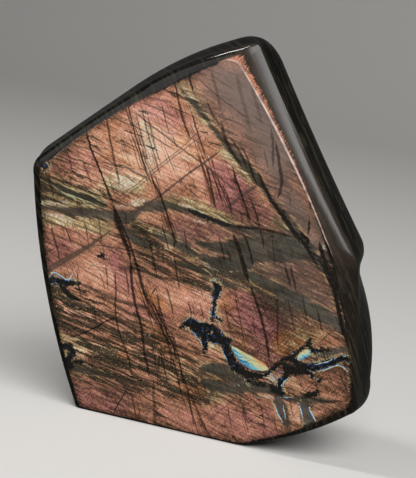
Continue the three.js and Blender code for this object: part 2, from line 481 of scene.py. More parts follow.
# %% Grey bands and black veins
GREY_BANDS = [
    [(38, 207, 1.2), (50, 208, 1.6), (62, 210, 2.4), (70, 212, 3.8), (82, 213, 4.2), (96, 214, 3.6),
     (108, 216, 4.0), (118, 218, 4.6), (129, 217, 4.2), (138, 211, 3.0), (147, 206, 4.2),
     (156, 207, 4.8), (165, 206, 3.4), (175, 208, 2.4), (184, 211, 2.0), (194, 214, 1.6),
     (206, 219, 2.2), (220, 225, 2.4), (234, 229, 3.0), (250, 232, 3.2), (264, 236, 3.2),
     (284, 240, 3.6), (300, 243, 3.0)],
    [(196, 244, 1.5), (210, 248, 4), (226, 249, 5.5), (245, 250, 9), (262, 250, 9), (285, 251, 8),
     (305, 252, 6), (318, 262, 3)], [(200, 256, 2), (212, 263, 4), (226, 264, 5), (244, 262, 6)],
    [(117, 224, 2.6), (126, 234, 3.0), (138, 242, 2.4), (150, 250, 1.4)],
    [(152, 233, 1.2), (162, 239, 2.6), (172, 244, 2.2), (184, 248, 3.0), (194, 255, 2.0)],
    [(170, 262, 1.0), (184, 266, 1.8), (196, 270, 1.6), (206, 275, 0.8)],
    [(240, 272, 2.0), (252, 278, 3.0), (264, 284, 3.8), (280, 292, 4.2), (300, 303, 4.6),
     (318, 314, 5.6), (334, 322, 5.0), (341, 330, 3)],
    [(174, 78, 0.6), (180, 88, 1.3), (186, 97, 2.2), (193, 104, 2.4), (200, 112, 1.8), (207, 122, 1.6),
     (216, 134, 2.2), (226, 146, 2.6), (236, 157, 3.4), (246, 168, 3.4), (256, 180, 3.2)],
    [(250, 172, 1.6), (262, 190, 2.0), (274, 205, 2.4), (286, 220, 2.8), (298, 236, 3.2),
     (308, 246, 2.6), (318, 260, 2.4), (331, 282, 1.6), (338, 312, 1.0), (346, 335, 1.4),
     (352, 362, 1.6), (354, 400, 2.0)],
    [(204, 368, 3), (214, 369, 4.2), (224, 371, 5.5), (234, 376, 6.2), (243, 383, 6.0), (254, 387, 5.0),
     (266, 389, 4.0), (282, 393, 2)], [(226, 350, 1.5), (228, 362, 3.0), (236, 372, 3.6)],
    [(203, 382, 2.2), (214, 386, 4.4), (226, 388, 4.6), (238, 391, 3.4)],
    [(213, 390, 1.6), (209, 397, 1.6), (205, 405, 0.4)], [(242, 388, 2), (240, 396, 1.6), (240, 401, 0.4)],
    [(277, 398, 3.2), (281, 407, 4.4), (284, 416, 4.0), (287, 424, 2.6)],
    [(302, 398, 3.6), (306, 410, 4.8), (308, 420, 4.8), (310, 430, 3.6)],
    [(280, 397, 1.6), (292, 400, 2.2), (304, 400, 3.4), (318, 401, 2.0), (336, 402, 1.0)],
    [(314, 356, 1.6), (322, 354, 3.2), (334, 352, 3.2), (344, 350, 2.6), (350, 348, 2.4)],
    [(286, 366, 2.5), (300, 368, 3.5), (316, 366, 3.0), (334, 361, 2.6)],
    [(216, 282, 1.0), (224, 285, 2.4), (232, 286, 2.0), (244, 288, 1.0), (256, 289, 0.4)],
    [(42, 178, 0.5), (50, 183, 1.0), (62, 189, 1.7), (76, 195, 1.6), (90, 200, 1.4), (104, 207, 1.2)],
    [(60, 365, 2), (72, 368, 2.6), (84, 371, 1.4), (98, 374, 1.4), (112, 378, 0.6)],
]
BLACK_VEINS = [
    [(212, 283, 0.6), (216, 288, 2.2), (215, 295, 2.0), (213, 300, 0.7), (213, 306, 0.9),
     (212, 312, 0.7), (211, 320, 0.7)], [(214, 317, 0.3), (219, 321, 0.8)],
    [(180, 327, 0.4), (185, 325, 1.5), (190, 322, 2.2), (197, 327, 2.4), (205, 328, 2.6),
     (212, 329, 2.2), (218, 335, 1.4), (226, 340, 1.3), (230, 341, 0.6)],
    [(190, 326, 1.8), (197, 333, 2.2), (204, 337, 3.0), (212, 339, 2.8), (220, 341, 2.2), (227, 343, 1.4)],
    [(203, 340, 2.2), (204, 347, 1.4), (204, 352, 0.4)],
    [(224, 344, 2.2), (226, 351, 2.4), (229, 358, 2.6), (233, 365, 2.8), (240, 371, 2.4),
     (247, 375, 2.2), (256, 376, 2.0), (263, 376, 1.0), (270, 371, 0.7), (277, 365, 0.7),
     (284, 359, 0.9), (292, 357, 0.8), (299, 350, 0.4), (306, 346, 0.8), (309, 343, 1.2), (310, 339, 0.4)],
    [(290, 358, 0.8), (295, 362, 1.2), (301, 367, 2.2), (309, 368, 2.2), (317, 367, 1.8),
     (326, 364, 1.7), (335, 361, 1.6), (343, 358, 1.4), (349, 360, 1.0)],
    [(286, 367, 1.6), (292, 371, 2.6), (300, 370, 2.8), (308, 372, 1.6)],
    [(283, 363, 0.7), (285, 369, 0.9), (287, 376, 1.1), (281, 380, 1.6), (279, 386, 1.3), (281, 394, 1.3)],
    [(270, 384, 0.6), (274, 389, 1.7), (280, 392, 1.4)],
    [(309, 347, 0.6), (314, 352, 1.3), (319, 351, 0.9), (330, 350, 0.3)],
    [(303, 397, 0.4), (309, 395, 1.4), (317, 393, 1.2)], [(310, 373, 0.8), (313, 378, 0.9)],
    [(316, 383, 0.3), (320, 380, 0.6)], [(246, 381, 0.5), (256, 384, 1.0), (264, 385, 0.6)],
    [(48, 281, 1.2), (54, 281, 2.0), (60, 282, 1.8), (66, 284, 1.7), (73, 283, 1.1), (79, 284, 0.4)],
    [(60, 286, 1.2), (65, 291, 1.2), (70, 297, 1.1), (77, 300, 0.6)],
    [(37, 163, 1.4), (43, 165, 1.5), (47, 167, 0.6), (44, 170, 0.4)],
    [(97, 257, 0.3), (101, 256, 1.2), (104, 259, 0.5)],
    [(62, 346, 1.4), (69, 347, 2.2), (73, 353, 1.6), (68, 359, 1.6), (70, 366, 2.0), (65, 369, 1.0)],
    [(74, 361, 0.6), (82, 362, 0.8)], [(306, 427, 1.0), (314, 424, 0.8)],
    [(254, 174, -0.9), (262, 188, -0.6), (270, 200, -0.5), (281, 214, -0.3), (292, 230, -0.3),
     (301, 242, 0.5), (309, 250, 0.1)],
    [(306, 247, -0.5), (318, 260, -0.2), (326, 272, 0.6), (334, 282, 0.8), (337, 300, -0.2),
     (342, 325, 0.1), (348, 345, -0.1)], [(231, 236, -0.9), (238, 252, -0.4), (244, 270, -0.4)],
    [(187, 210, 0.3), (193, 213, 0.9), (199, 216, 1.2), (206, 219, 1.0), (214, 222, 0.7), (226, 226, 0.4)],
]
STRIPE = [(118, 226, -0.2), (104, 235, 0.9), (90, 245, 1.5), (72, 256, 2.0), (56, 265, 2.3), (38, 275, 2.4)]
grey = to_strokes(GREY_BANDS)
VEIN_SWELL = 0.7
vein = to_strokes(BLACK_VEINS) - VEIN_SWELL
store("grey", grey)
store("vein", vein)
store("stripe", to_path(*STRIPE))

# %% [markdown]
# A lens of cream and cyan lies in the bend of the lower vein, and a small one further right. For each, one
# value says how far inside it a point is, and another how far it lies from the blue side towards the golden
# side.

# %% The cyan lenses
LENS_STROKES = [
    [(230, 346, 0.3), (235, 352, 2.6), (243, 359, 4.2), (252, 364, 4.6), (261, 367, 3.2), (268, 370, 0.6)],
]
PATCH_STROKES = [[(297, 361, 0.6), (300, 357, 2.4), (305, 354, 2.9), (310, 351, 1.8)]]
LENS_LOW, LENS_HIGH = on_face((240, 369)), on_face((252, 353))
PATCH_LOW, PATCH_HIGH = on_face((306, 361)), on_face((299, 350))
lens = to_strokes(LENS_STROKES + PATCH_STROKES)


def rise(low, high):
    """How far each spot lies on the way from one place to another: 0 at the first and 1 at the second."""
    return (ground - low) @ (high - low) / ((high - low) @ (high - low))


PATCH_REACH = 14
near_patch = np.linalg.norm(ground - PATCH_LOW, axis=1) < PATCH_REACH
store("lens", lens)
store("lens_rise", np.where(near_patch, rise(PATCH_LOW, PATCH_HIGH), rise(LENS_LOW, LENS_HIGH)))

# %% [markdown]
# Soft zones: how bright the flash is, where it turns to rose, to amber, to gold or to cream, where the veins
# hold blue, where grey needles crowd it, where steep cracks do, and where a painted reflection lies over it.

# %% Soft zones
store("bright", zone(
    (0.20, 12, (282, 342), (300, 342)), (0.25, 10, (290, 408), (298, 420)),
    (0.2, 10, (300, 330), (318, 334)), (0.42, 34, (140, 125), (205, 150)),
    (0.28, 22, (120, 180), (150, 150)), (0.20, 14, (95, 145)), (0.20, 14, (175, 155), (200, 150)),
    (0.22, 16, (75, 225), (60, 245)), (0.26, 10, (85, 268), (130, 290)), (0.34, 10, (148, 292), (200, 300)),
    (0.34, 6, (60, 302), (90, 318)), (0.36, 5, (62, 340), (84, 346), (112, 354)),
    (-0.42, 34, (300, 290), (285, 330), (330, 330)), (-0.18, 16, (228, 200), (285, 226)),
    (-0.30, 18, (265, 120), (280, 150)), (-0.22, 22, (245, 80), (262, 120)),
    (0.2, 12, (240, 310), (256, 330)), (-0.20, 10, (215, 375), (180, 395)),
    (0.10, 16, (220, 412), (262, 425)), (-0.24, 18, (320, 385), (340, 395)),
    (0.26, 7, (325, 335), (340, 342)), (0.18, 8, (292, 384), (306, 384)),
    (-0.14, 16, (95, 400), (130, 405)), (-0.2, 8, (42, 180), (38, 230)), (0.22, 8, (258, 198), (268, 212)),
    (0.10, 14, (150, 315), (170, 350)), (-0.30, 12, (290, 170), (310, 235)),
    (-0.2, 14, (200, 235), (180, 240)), (0.2, 6, (208, 352), (222, 356)),
    (0.34, 4.5, (276, 140), (303, 196), (314, 236)), (-0.10, 12, (115, 200), (130, 185)),
    (0.30, 11, (82, 296), (100, 306)), (0.16, 12, (110, 332), (132, 358)),
    (0.24, 14, (150, 362), (182, 368)), (0.16, 10, (172, 388), (190, 392)),
    (0.14, 12, (82, 176), (96, 184)), (0.12, 10, (90, 262), (100, 276)), (0.24, 9, (212, 62), (240, 62)),
    (-0.14, 12, (112, 128), (124, 150)), (-0.24, 13, (212, 118), (212, 152)),
    (-0.18, 11, (240, 204), (246, 216)), (-0.34, 11, (234, 266), (246, 276)),
    (-0.18, 10, (146, 272), (152, 300)), (-0.22, 12, (268, 294), (276, 308)),
    (-0.14, 10, (266, 330), (274, 336)), (-0.22, 12, (208, 390), (244, 394)),
    (-0.18, 10, (116, 388), (124, 394)), (-0.12, 8, (296, 390), (304, 392)),
    (0.14, 8, (150, 236), (158, 244)), (0.2, 8, (204, 300), (214, 304)), (0.5, 5, (92, 350), (108, 352)),
    (0.22, 12, (324, 386), (336, 394)), (0.16, 10, (172, 418), (188, 422)),
    (-0.25, 9, (58, 246), (62, 254)), (-0.16, 8, (228, 306), (238, 310)),
    (-0.12, 14, (178, 146), (192, 152)),
))
store("rose", zone(
    (0.5, 12, (130, 105), (150, 112)), (0.55, 14, (165, 112), (182, 128)), (0.7, 13, (62, 250), (50, 258)),
    (1.1, 11, (218, 172), (236, 190), (225, 200)), (0.5, 12, (245, 205), (262, 214)),
    (1.1, 16, (245, 308), (268, 330), (272, 352)), (0.8, 9, (135, 308), (162, 320)),
    (0.8, 9, (112, 258), (125, 285)), (0.5, 14, (72, 160), (95, 165)), (0.6, 20, (88, 398), (112, 404)),
    (0.6, 20, (220, 415), (262, 428)), (0.5, 10, (190, 304), (200, 312)), (0.4, 12, (208, 70), (228, 72)),
    (0.5, 8, (275, 365), (280, 372)), (0.5, 12, (280, 262), (300, 274)), (0.6, 12, (180, 232), (212, 234)),
    (0.5, 8, (165, 410), (185, 424)),
))
store("gold", zone(
    (0.9, 9, (110, 184), (136, 186)), (0.9, 5, (45, 200), (70, 202), (100, 203)),
    (0.9, 6, (45, 218), (72, 222), (104, 228)), (1.0, 5, (168, 202), (200, 209), (228, 221)),
    (0.8, 6, (135, 228), (165, 236), (190, 256)), (0.6, 7, (182, 84), (196, 96)),
    (0.7, 6, (196, 112), (208, 122)), (0.8, 6, (222, 152), (238, 166), (250, 178)),
    (0.8, 7, (206, 272), (240, 276)), (0.9, 5, (58, 338), (84, 346)), (0.7, 8, (46, 184), (90, 196)),
    (0.9, 5, (328, 262), (342, 276)), (0.5, 7, (288, 344), (302, 340)), (0.7, 6, (276, 222), (292, 236)),
    (0.6, 7, (145, 125), (150, 150)), (0.5, 14, (170, 372), (205, 372)), (0.8, 5, (50, 290), (66, 296)),
    (0.4, 9, (262, 345), (290, 385)), (0.5, 8, (290, 328), (318, 334)), (0.6, 6, (212, 400), (222, 398)),
    (0.6, 7, (320, 220), (332, 244)), (0.5, 8, (258, 266), (270, 274)), (0.5, 5, (210, 344), (220, 346)),
))
store("amber", zone(
    (1.1, 10, (280, 344), (302, 342)), (0.6, 8, (148, 296), (160, 308)),
    (0.9, 4, (304, 196), (312, 216), (321, 242)), (0.5, 9, (226, 304), (236, 310)),
    (0.5, 6, (326, 338), (340, 342)), (0.5, 10, (198, 84), (216, 104)), (0.6, 12, (92, 348), (120, 356)),
    (0.5, 12, (150, 330), (176, 356)), (0.4, 14, (110, 135), (132, 160)), (0.4, 14, (180, 140), (200, 155)),
    (0.4, 10, (300, 272), (316, 282)), (0.4, 12, (170, 384), (200, 396)),
))
store("cream", zone(
    (1.3, 4.8, (118, 184), (129, 184)), (0.75, 6, (144, 132), (148, 168)),
    (0.8, 1.3, (114, 207), (140, 205)), (0.9, 2.0, (132, 202), (142, 202)),
    (0.8, 1.8, (42, 202), (66, 203)), (0.6, 1.6, (50, 208), (62, 208)), (0.75, 2, (42, 214), (64, 217)),
    (0.6, 2.4, (60, 219), (74, 222)), (0.5, 2.5, (85, 344), (96, 348)), (0.75, 1.2, (178, 205), (192, 208)),
    (0.75, 1.2, (190, 219), (206, 225)), (0.8, 2.6, (198, 369), (207, 372)),
    (1.0, 1.4, (332, 265), (336, 268)), (1.0, 1.6, (322, 247), (327, 250)),
    (0.45, 4, (290, 406), (298, 420)), (0.7, 2, (210, 269), (217, 271)), (0.6, 2, (133, 219), (142, 224)),
    (0.6, 1.8, (150, 230), (164, 236)), (0.6, 1.8, (160, 246), (168, 250)),
    (0.8, 1.8, (186, 252), (192, 254)), (0.9, 3.0, (266, 376), (272, 380)),
    (0.6, 3, (180, 160), (190, 158)), (0.5, 1.6, (80, 304), (92, 309)), (0.6, 1.2, (76, 353), (83, 357)),
    (0.5, 1.2, (84, 364), (92, 368)), (0.6, 1.6, (200, 264), (206, 268)), (0.7, 1.4, (44, 160), (49, 168)),
    (0.5, 2.2, (258, 396), (276, 398)),
))
store("blue", zone(
    (1.3, 6, (214, 272), (213, 300), (211, 320)), (1.2, 7, (190, 326), (222, 340)),
    (1.0, 4, (222, 350), (234, 366)), (1.0, 4, (272, 374), (286, 388)), (1.2, 5, (300, 356), (312, 350)),
    (1.2, 5, (312, 368), (346, 355), (350, 358)), (1.1, 6, (50, 278), (74, 278)),
    (1.1, 5, (40, 164), (48, 168)), (1.0, 5, (274, 402), (286, 424)), (1.0, 4, (298, 404), (303, 424)),
    (0.8, 5, (234, 378), (250, 386)), (0.6, 6, (66, 352), (80, 356)), (0.6, 4, (210, 376), (220, 378)),
))
store("needles", zone(
    (0.9, 22, (56, 312), (110, 340), (150, 355)), (0.7, 20, (150, 345), (205, 372)),
    (0.9, 11, (42, 186), (100, 203)), (1.0, 9, (122, 226), (160, 246), (214, 272)),
    (0.8, 12, (80, 366), (160, 385), (195, 392)), (0.8, 9, (138, 264), (175, 276), (205, 288)),
    (0.3, 16, (90, 130), (130, 160)), (0.6, 10, (62, 158), (78, 186)), (0.5, 12, (262, 300), (320, 318)),
    (0.3, 20, (200, 90), (250, 140)), (-0.6, 8, (84, 270), (130, 290)), (-0.8, 8, (146, 292), (198, 305)),
    (-0.6, 9, (185, 150), (165, 166)), (-0.8, 9, (85, 398), (115, 404)), (-0.5, 10, (55, 230), (62, 244)),
    (-0.4, 8, (190, 232), (215, 236)), (0.5, 8, (60, 296), (95, 308)), (1.0, 8, (222, 262), (256, 284)),
    (0.6, 9, (262, 292), (300, 304)),
))
store("steep", zone(
    (1.1, 4, (127, 106), (134, 138), (148, 176)), (0.9, 3.5, (150, 178), (160, 204), (172, 240)),
    (0.9, 3.5, (166, 216), (180, 238)), (0.9, 4, (192, 136), (203, 160)), (1.0, 4, (204, 164), (212, 200)),
    (0.8, 5, (208, 166), (226, 206)), (0.8, 3.5, (230, 172), (248, 220)), (1.1, 7, (140, 286), (172, 356)),
    (0.5, 6, (160, 350), (184, 400)), (0.6, 4, (113, 208), (130, 262)), (0.5, 3, (110, 188), (114, 208)),
    (0.7, 3, (189, 78), (197, 106)), (0.5, 5, (181, 112), (196, 140)), (0.5, 6, (68, 232), (60, 262)),
    (0.6, 6, (133, 392), (140, 420)), (0.6, 8, (262, 322), (270, 365)), (0.5, 5, (243, 400), (250, 432)),
    (0.5, 5, (262, 402), (275, 430)), (0.6, 6, (332, 285), (345, 338)), (0.9, 5, (300, 240), (322, 276)),
    (0.8, 5, (262, 190), (304, 246)), (0.7, 4, (220, 132), (250, 176)), (0.6, 5, (270, 135), (280, 180)),
    (0.5, 6, (283, 264), (294, 290)), (0.6, 5, (186, 392), (204, 430)), (0.5, 6, (344, 372), (350, 398)),
    (0.4, 10, (235, 240), (262, 280)),
))
# Where a painted reflection, pale grey, lies over the upper right of the face.
store("painted_reflection", zone(
    (0.85, 19, (232, 78), (256, 105), (276, 150)), (0.35, 14, (208, 84), (240, 95)),
    (0.5, 12, (298, 205), (312, 238)), (0.35, 20, (230, 250), (300, 262)),
    (0.30, 16, (300, 300), (335, 310)), (0.25, 10, (180, 238)), (0.30, 14, (212, 112), (232, 130)),
    (0.3, 10, (270, 165), (285, 205)),
))

# %% [markdown]
# Cracks, twin lines and drifts of needles, drawn where the photograph shows them: width in millimetres,
# strength, then photo pixels. Dark cracks run steeply, taupe lines are thin layers seen on edge, and drifts
# are bundles of needles that lie along the layers.

# %% Drawn lines
DARK_LINES = [
    (1.0, 0.95, (88, 118), (86, 127), (86, 134), (89, 144), (92, 154), (96, 163), (100, 173), (104, 184),
     (108, 194), (112, 206)),
    (1.0, 0.75, (104, 108), (106, 120), (108, 130), (109, 140), (111, 148), (113, 160), (116, 172),
     (119, 188)), (0.9, 0.6, (81, 157), (84, 167), (88, 177), (92, 188)),
    (0.8, 0.7, (49, 168), (49, 180), (52, 193), (55, 204)), (0.8, 0.6, (63, 192), (64, 206)),
    (0.8, 0.6, (106, 188), (110, 198), (114, 208)),
    (1.8, 0.95, (112, 204), (116, 219), (119, 230), (123, 241), (127, 250), (129, 262)),
    (1.3, 0.9, (129, 258), (130, 275), (131, 288), (133, 300), (136, 312), (140, 326), (142, 342),
     (144, 356), (147, 368), (149, 380)),
    (1.2, 0.9, (117, 214), (121, 227), (126, 238), (130, 249), (134, 262), (138, 276), (141, 287),
     (145, 298), (149, 308)), (1.0, 0.8, (112, 212), (114, 222), (118, 233), (124, 246), (128, 258)),
    (1.1, 0.8, (124, 212), (125, 226)),
    (0.9, 0.8, (114, 268), (114, 282), (115, 293), (114, 304), (115, 318), (118, 332), (123, 345),
     (127, 356), (130, 368), (133, 380)),
    (1.1, 0.85, (149, 174), (152, 183), (156, 190), (160, 199), (163, 208), (166, 217), (169, 227),
     (173, 237), (176, 247)), (0.9, 0.8, (154, 184), (159, 196), (162, 207)),
    (1.1, 0.85, (162, 205), (165, 214), (168, 223), (171, 233), (173, 243), (172, 253)),
    (1.5, 0.9, (172, 56), (172, 68), (173, 78), (175, 87)),
    (1.0, 0.85, (173, 74), (175, 86), (177, 97), (179, 106), (181, 115), (184, 126), (188, 136),
     (191, 142)), (1.0, 0.9, (187, 56), (188, 68), (189, 77), (191, 86), (194, 97)),
    (0.9, 0.75, (190, 110), (193, 120), (195, 128), (198, 138), (201, 147), (204, 156), (206, 162)),
    (0.9, 0.7, (205, 97), (208, 106), (212, 116), (217, 123), (221, 130)),
    (1.4, 0.8, (220, 121), (222, 132), (225, 142), (229, 150), (234, 157), (238, 163), (241, 170)),
    (1.0, 0.8, (228, 136), (234, 146), (239, 153), (243, 162), (247, 172)),
    (0.9, 0.8, (238, 143), (243, 152), (247, 161), (250, 172), (252, 180)),
    (1.0, 0.85, (204, 162), (207, 173), (209, 184), (211, 194), (213, 204), (216, 213)),
    (0.8, 0.75, (206, 164), (211, 174), (215, 185), (219, 197), (222, 206)),
    (0.8, 0.75, (210, 170), (216, 180), (221, 191), (225, 202)),
    (0.9, 0.8, (219, 180), (223, 190), (227, 200), (229, 208), (231, 218)),
    (1.1, 0.85, (231, 170), (234, 180), (238, 189), (241, 198), (244, 207), (247, 217), (250, 226)),
    (0.8, 0.7, (228, 171), (232, 181), (236, 190)),
    (0.9, 0.8, (249, 198), (253, 209), (256, 219), (258, 228), (261, 239), (263, 252)),
    (0.8, 0.6, (237, 207), (240, 218), (241, 230)),
    (1.7, 0.85, (231, 233), (235, 243), (238, 252), (241, 262), (244, 273), (248, 285)),
    (1.0, 0.8, (240, 231), (245, 241), (248, 250), (250, 260), (252, 270)),
    (1.0, 0.7, (224, 247), (228, 257), (230, 268)),
    (1.2, 0.85, (248, 284), (252, 294), (256, 306), (259, 315), (262, 326), (265, 338), (267, 350),
     (269, 362)), (0.9, 0.7, (276, 294), (276, 310), (277, 325), (276, 338), (278, 352)),
    (0.9, 0.6, (251, 312), (253, 328), (254, 338)),
    (1.1, 0.8, (283, 263), (285, 272), (288, 281), (290, 290)),
    (1.0, 0.75, (289, 262), (291, 276), (294, 286), (295, 294)),
    (1.0, 0.75, (315, 307), (318, 316), (320, 326), (323, 335)),
    (1.1, 0.85, (247, 158), (249, 168), (252, 178), (257, 186)),
    (1.3, 0.9, (256, 170), (260, 180), (264, 189), (268, 197), (273, 205)),
    (1.4, 0.9, (266, 196), (272, 204), (278, 212), (283, 220), (289, 228), (294, 236), (300, 244)),
    (1.1, 0.85, (274, 204), (280, 214), (286, 222), (292, 231), (297, 238)),
    (1.6, 0.95, (297, 229), (302, 236), (307, 241), (306, 250)),
    (1.1, 0.85, (300, 240), (304, 247), (309, 254), (314, 263), (320, 271)),
    (1.8, 0.95, (318, 240), (320, 250), (323, 260), (327, 268), (330, 276), (333, 283)),
    (2.2, 0.95, (323, 260), (329, 270), (333, 278), (336, 283)),
    (1.5, 0.95, (324, 274), (329, 282), (333, 290), (336, 300), (338, 312), (340, 322), (343, 332),
     (347, 341), (349, 352)), (1.1, 0.9, (308, 216), (308, 228), (307, 238)),
    (1.0, 0.85, (308, 194), (309, 204), (310, 213)),
    (1.2, 0.6, (270, 128), (272, 140), (272, 155), (272, 170)),
    (1.4, 0.75, (274, 140), (277, 155), (279, 170), (281, 182), (279, 192), (275, 201)),
    (0.8, 0.6, (286, 192), (289, 200), (290, 211)),
    (0.8, 0.8, (312, 220), (317, 217), (322, 212), (329, 207)),
    (0.8, 0.8, (318, 240), (323, 236), (329, 231)), (0.9, 0.8, (264, 240), (270, 237), (277, 236)),
    (0.8, 0.6, (288, 244), (291, 252), (292, 259)),
    (1.2, 0.85, (230, 226), (243, 228), (254, 229), (262, 230), (272, 232), (281, 235), (292, 238)),
    (0.9, 0.8, (248, 218), (255, 225), (262, 229)),
    (0.9, 0.75, (50, 221), (52, 232), (55, 243), (58, 253), (59, 264)),
    (0.9, 0.7, (57, 246), (51, 250), (44, 254)), (0.8, 0.65, (65, 227), (69, 238), (72, 249)),
    (0.8, 0.6, (59, 263), (61, 270), (60, 277)),
    (0.9, 0.85, (65, 338), (74, 336), (81, 334), (88, 331), (96, 327), (104, 322), (112, 319), (122, 316)),
    (0.8, 0.6, (101, 244), (103, 258)), (0.9, 0.75, (142, 283), (145, 292), (148, 302)),
    (0.9, 0.75, (155, 289), (157, 300), (158, 312), (160, 324), (164, 337), (169, 350), (175, 362)),
    (0.9, 0.75, (164, 284), (167, 295), (170, 305), (172, 318)),
    (0.8, 0.6, (190, 300), (192, 310), (194, 320)),
    (0.9, 0.7, (152, 304), (160, 318), (168, 332), (176, 345)),
    (0.9, 0.75, (176, 350), (179, 364), (181, 374), (185, 384), (188, 395), (190, 406), (192, 416),
     (195, 430)),
    (1.0, 0.7, (187, 390), (192, 400), (196, 409), (200, 418), (204, 426), (208, 432), (213, 441)),
    (0.8, 0.6, (158, 352), (158, 365), (157, 378), (158, 394)),
    (1.3, 0.6, (153, 378), (153, 392), (154, 408), (155, 430)),
    (0.8, 0.6, (243, 400), (243, 412), (246, 424), (249, 436)),
    (0.8, 0.6, (259, 400), (262, 412), (264, 424), (266, 434)), (0.7, 0.5, (274, 412), (275, 430)),
    (0.9, 0.7, (130, 390), (133, 402), (135, 412), (137, 422)),
    (0.8, 0.6, (136, 398), (139, 410), (140, 422)), (0.7, 0.5, (106, 391), (107, 410)),
    (0.7, 0.5, (115, 391), (116, 409)), (0.7, 0.5, (122, 402), (127, 419)),
    (0.9, 0.85, (228, 431), (234, 437), (240, 444)),
    (1.2, 0.6, (215, 330), (225, 332), (236, 333), (247, 336), (260, 339)),
    (0.9, 0.7, (217, 306), (228, 315), (237, 324), (247, 332), (257, 338)),
    (0.8, 0.7, (338, 368), (342, 380), (346, 388), (349, 397)),
    (0.8, 0.6, (318, 381), (326, 379), (335, 377)), (0.8, 0.6, (333, 381), (337, 389)),
    (0.9, 0.7, (283, 390), (292, 394), (300, 399), (307, 402)),
    (0.8, 0.6, (296, 378), (301, 385), (305, 393)),
    (1.2, 0.65, (306, 396), (316, 400), (326, 402), (338, 401), (349, 401)),
    (0.9, 0.6, (320, 402), (330, 410), (341, 417)),
    (0.8, 0.6, (339, 326), (332, 331), (324, 338), (316, 345)),
    (0.9, 0.7, (342, 306), (346, 312), (352, 318)), (0.8, 0.7, (325, 333), (335, 338), (344, 343)),
    (0.9, 0.9, (156, 301), (161, 317), (166, 333), (177, 355), (180, 370), (184, 388)),
    (0.9, 0.9, (148, 298), (154, 308), (160, 321), (171, 343), (177, 365)),
    (1.0, 0.9, (141, 286), (146, 298), (152, 311), (161, 330), (171, 349)),
    (0.8, 0.85, (136, 295), (143, 304), (149, 314), (158, 328)),
    (0.8, 0.85, (158, 347), (163, 367), (168, 388)), (0.8, 0.85, (170, 353), (175, 370), (182, 400)),
    (0.8, 0.8, (186, 300), (189, 311), (191, 322)),
    (0.8, 0.8, (164, 326), (167, 342), (170, 358), (172, 374)),
    (0.7, 0.8, (150, 340), (153, 356), (156, 372)), (0.8, 0.8, (122, 262), (126, 280), (128, 298)),
    (0.8, 0.8, (136, 262), (140, 280), (146, 300)),
    (0.9, 0.8, (148, 236), (150, 252), (153, 268), (156, 280)),
    (0.8, 0.8, (160, 222), (164, 238), (168, 254)),
    (0.8, 0.8, (172, 252), (174, 266), (176, 280), (179, 294)),
    (0.7, 0.7, (182, 226), (184, 240), (186, 256)), (0.7, 0.7, (104, 262), (106, 278), (107, 294)),
    (0.7, 0.7, (96, 214), (99, 230), (101, 246)), (0.7, 0.7, (82, 216), (86, 232), (88, 250)),
    (0.7, 0.7, (92, 296), (94, 312), (97, 330)), (0.7, 0.7, (76, 268), (78, 286), (81, 304)),
    (0.7, 0.7, (198, 300), (201, 314), (203, 326)),
    (0.7, 0.75, (232, 292), (236, 308), (240, 326), (243, 344)),
    (0.7, 0.75, (222, 300), (226, 318), (230, 336)), (0.7, 0.7, (286, 296), (290, 314), (295, 336)),
    (0.7, 0.7, (300, 292), (304, 310), (308, 330)), (0.8, 0.7, (216, 232), (220, 248), (224, 266)),
    (0.7, 0.7, (270, 232), (272, 250), (274, 270)), (0.7, 0.7, (226, 400), (229, 416), (233, 432)),
    (0.7, 0.7, (286, 386), (290, 402), (293, 416)),
    (1.6, 0.3, (236, 72), (240, 92), (245, 112), (250, 134)), (1.4, 0.3, (250, 84), (256, 104), (262, 126)),
    (1.2, 0.4, (210, 70), (216, 90), (220, 112)), (0.7, 0.5, (262, 146), (265, 160), (269, 176)),
    (0.7, 0.7, (146, 112), (150, 130), (155, 150), (160, 168)),
    (0.7, 0.7, (160, 100), (164, 118), (169, 138)), (0.7, 0.7, (66, 146), (69, 160), (73, 178)),
    (0.7, 0.7, (134, 108), (138, 126), (143, 146), (148, 166)),
    (0.8, 0.8, (127, 104), (131, 122), (136, 142), (142, 162), (147, 178)),
    (0.8, 0.75, (140, 104), (144, 122), (149, 142), (155, 162), (160, 180)),
]
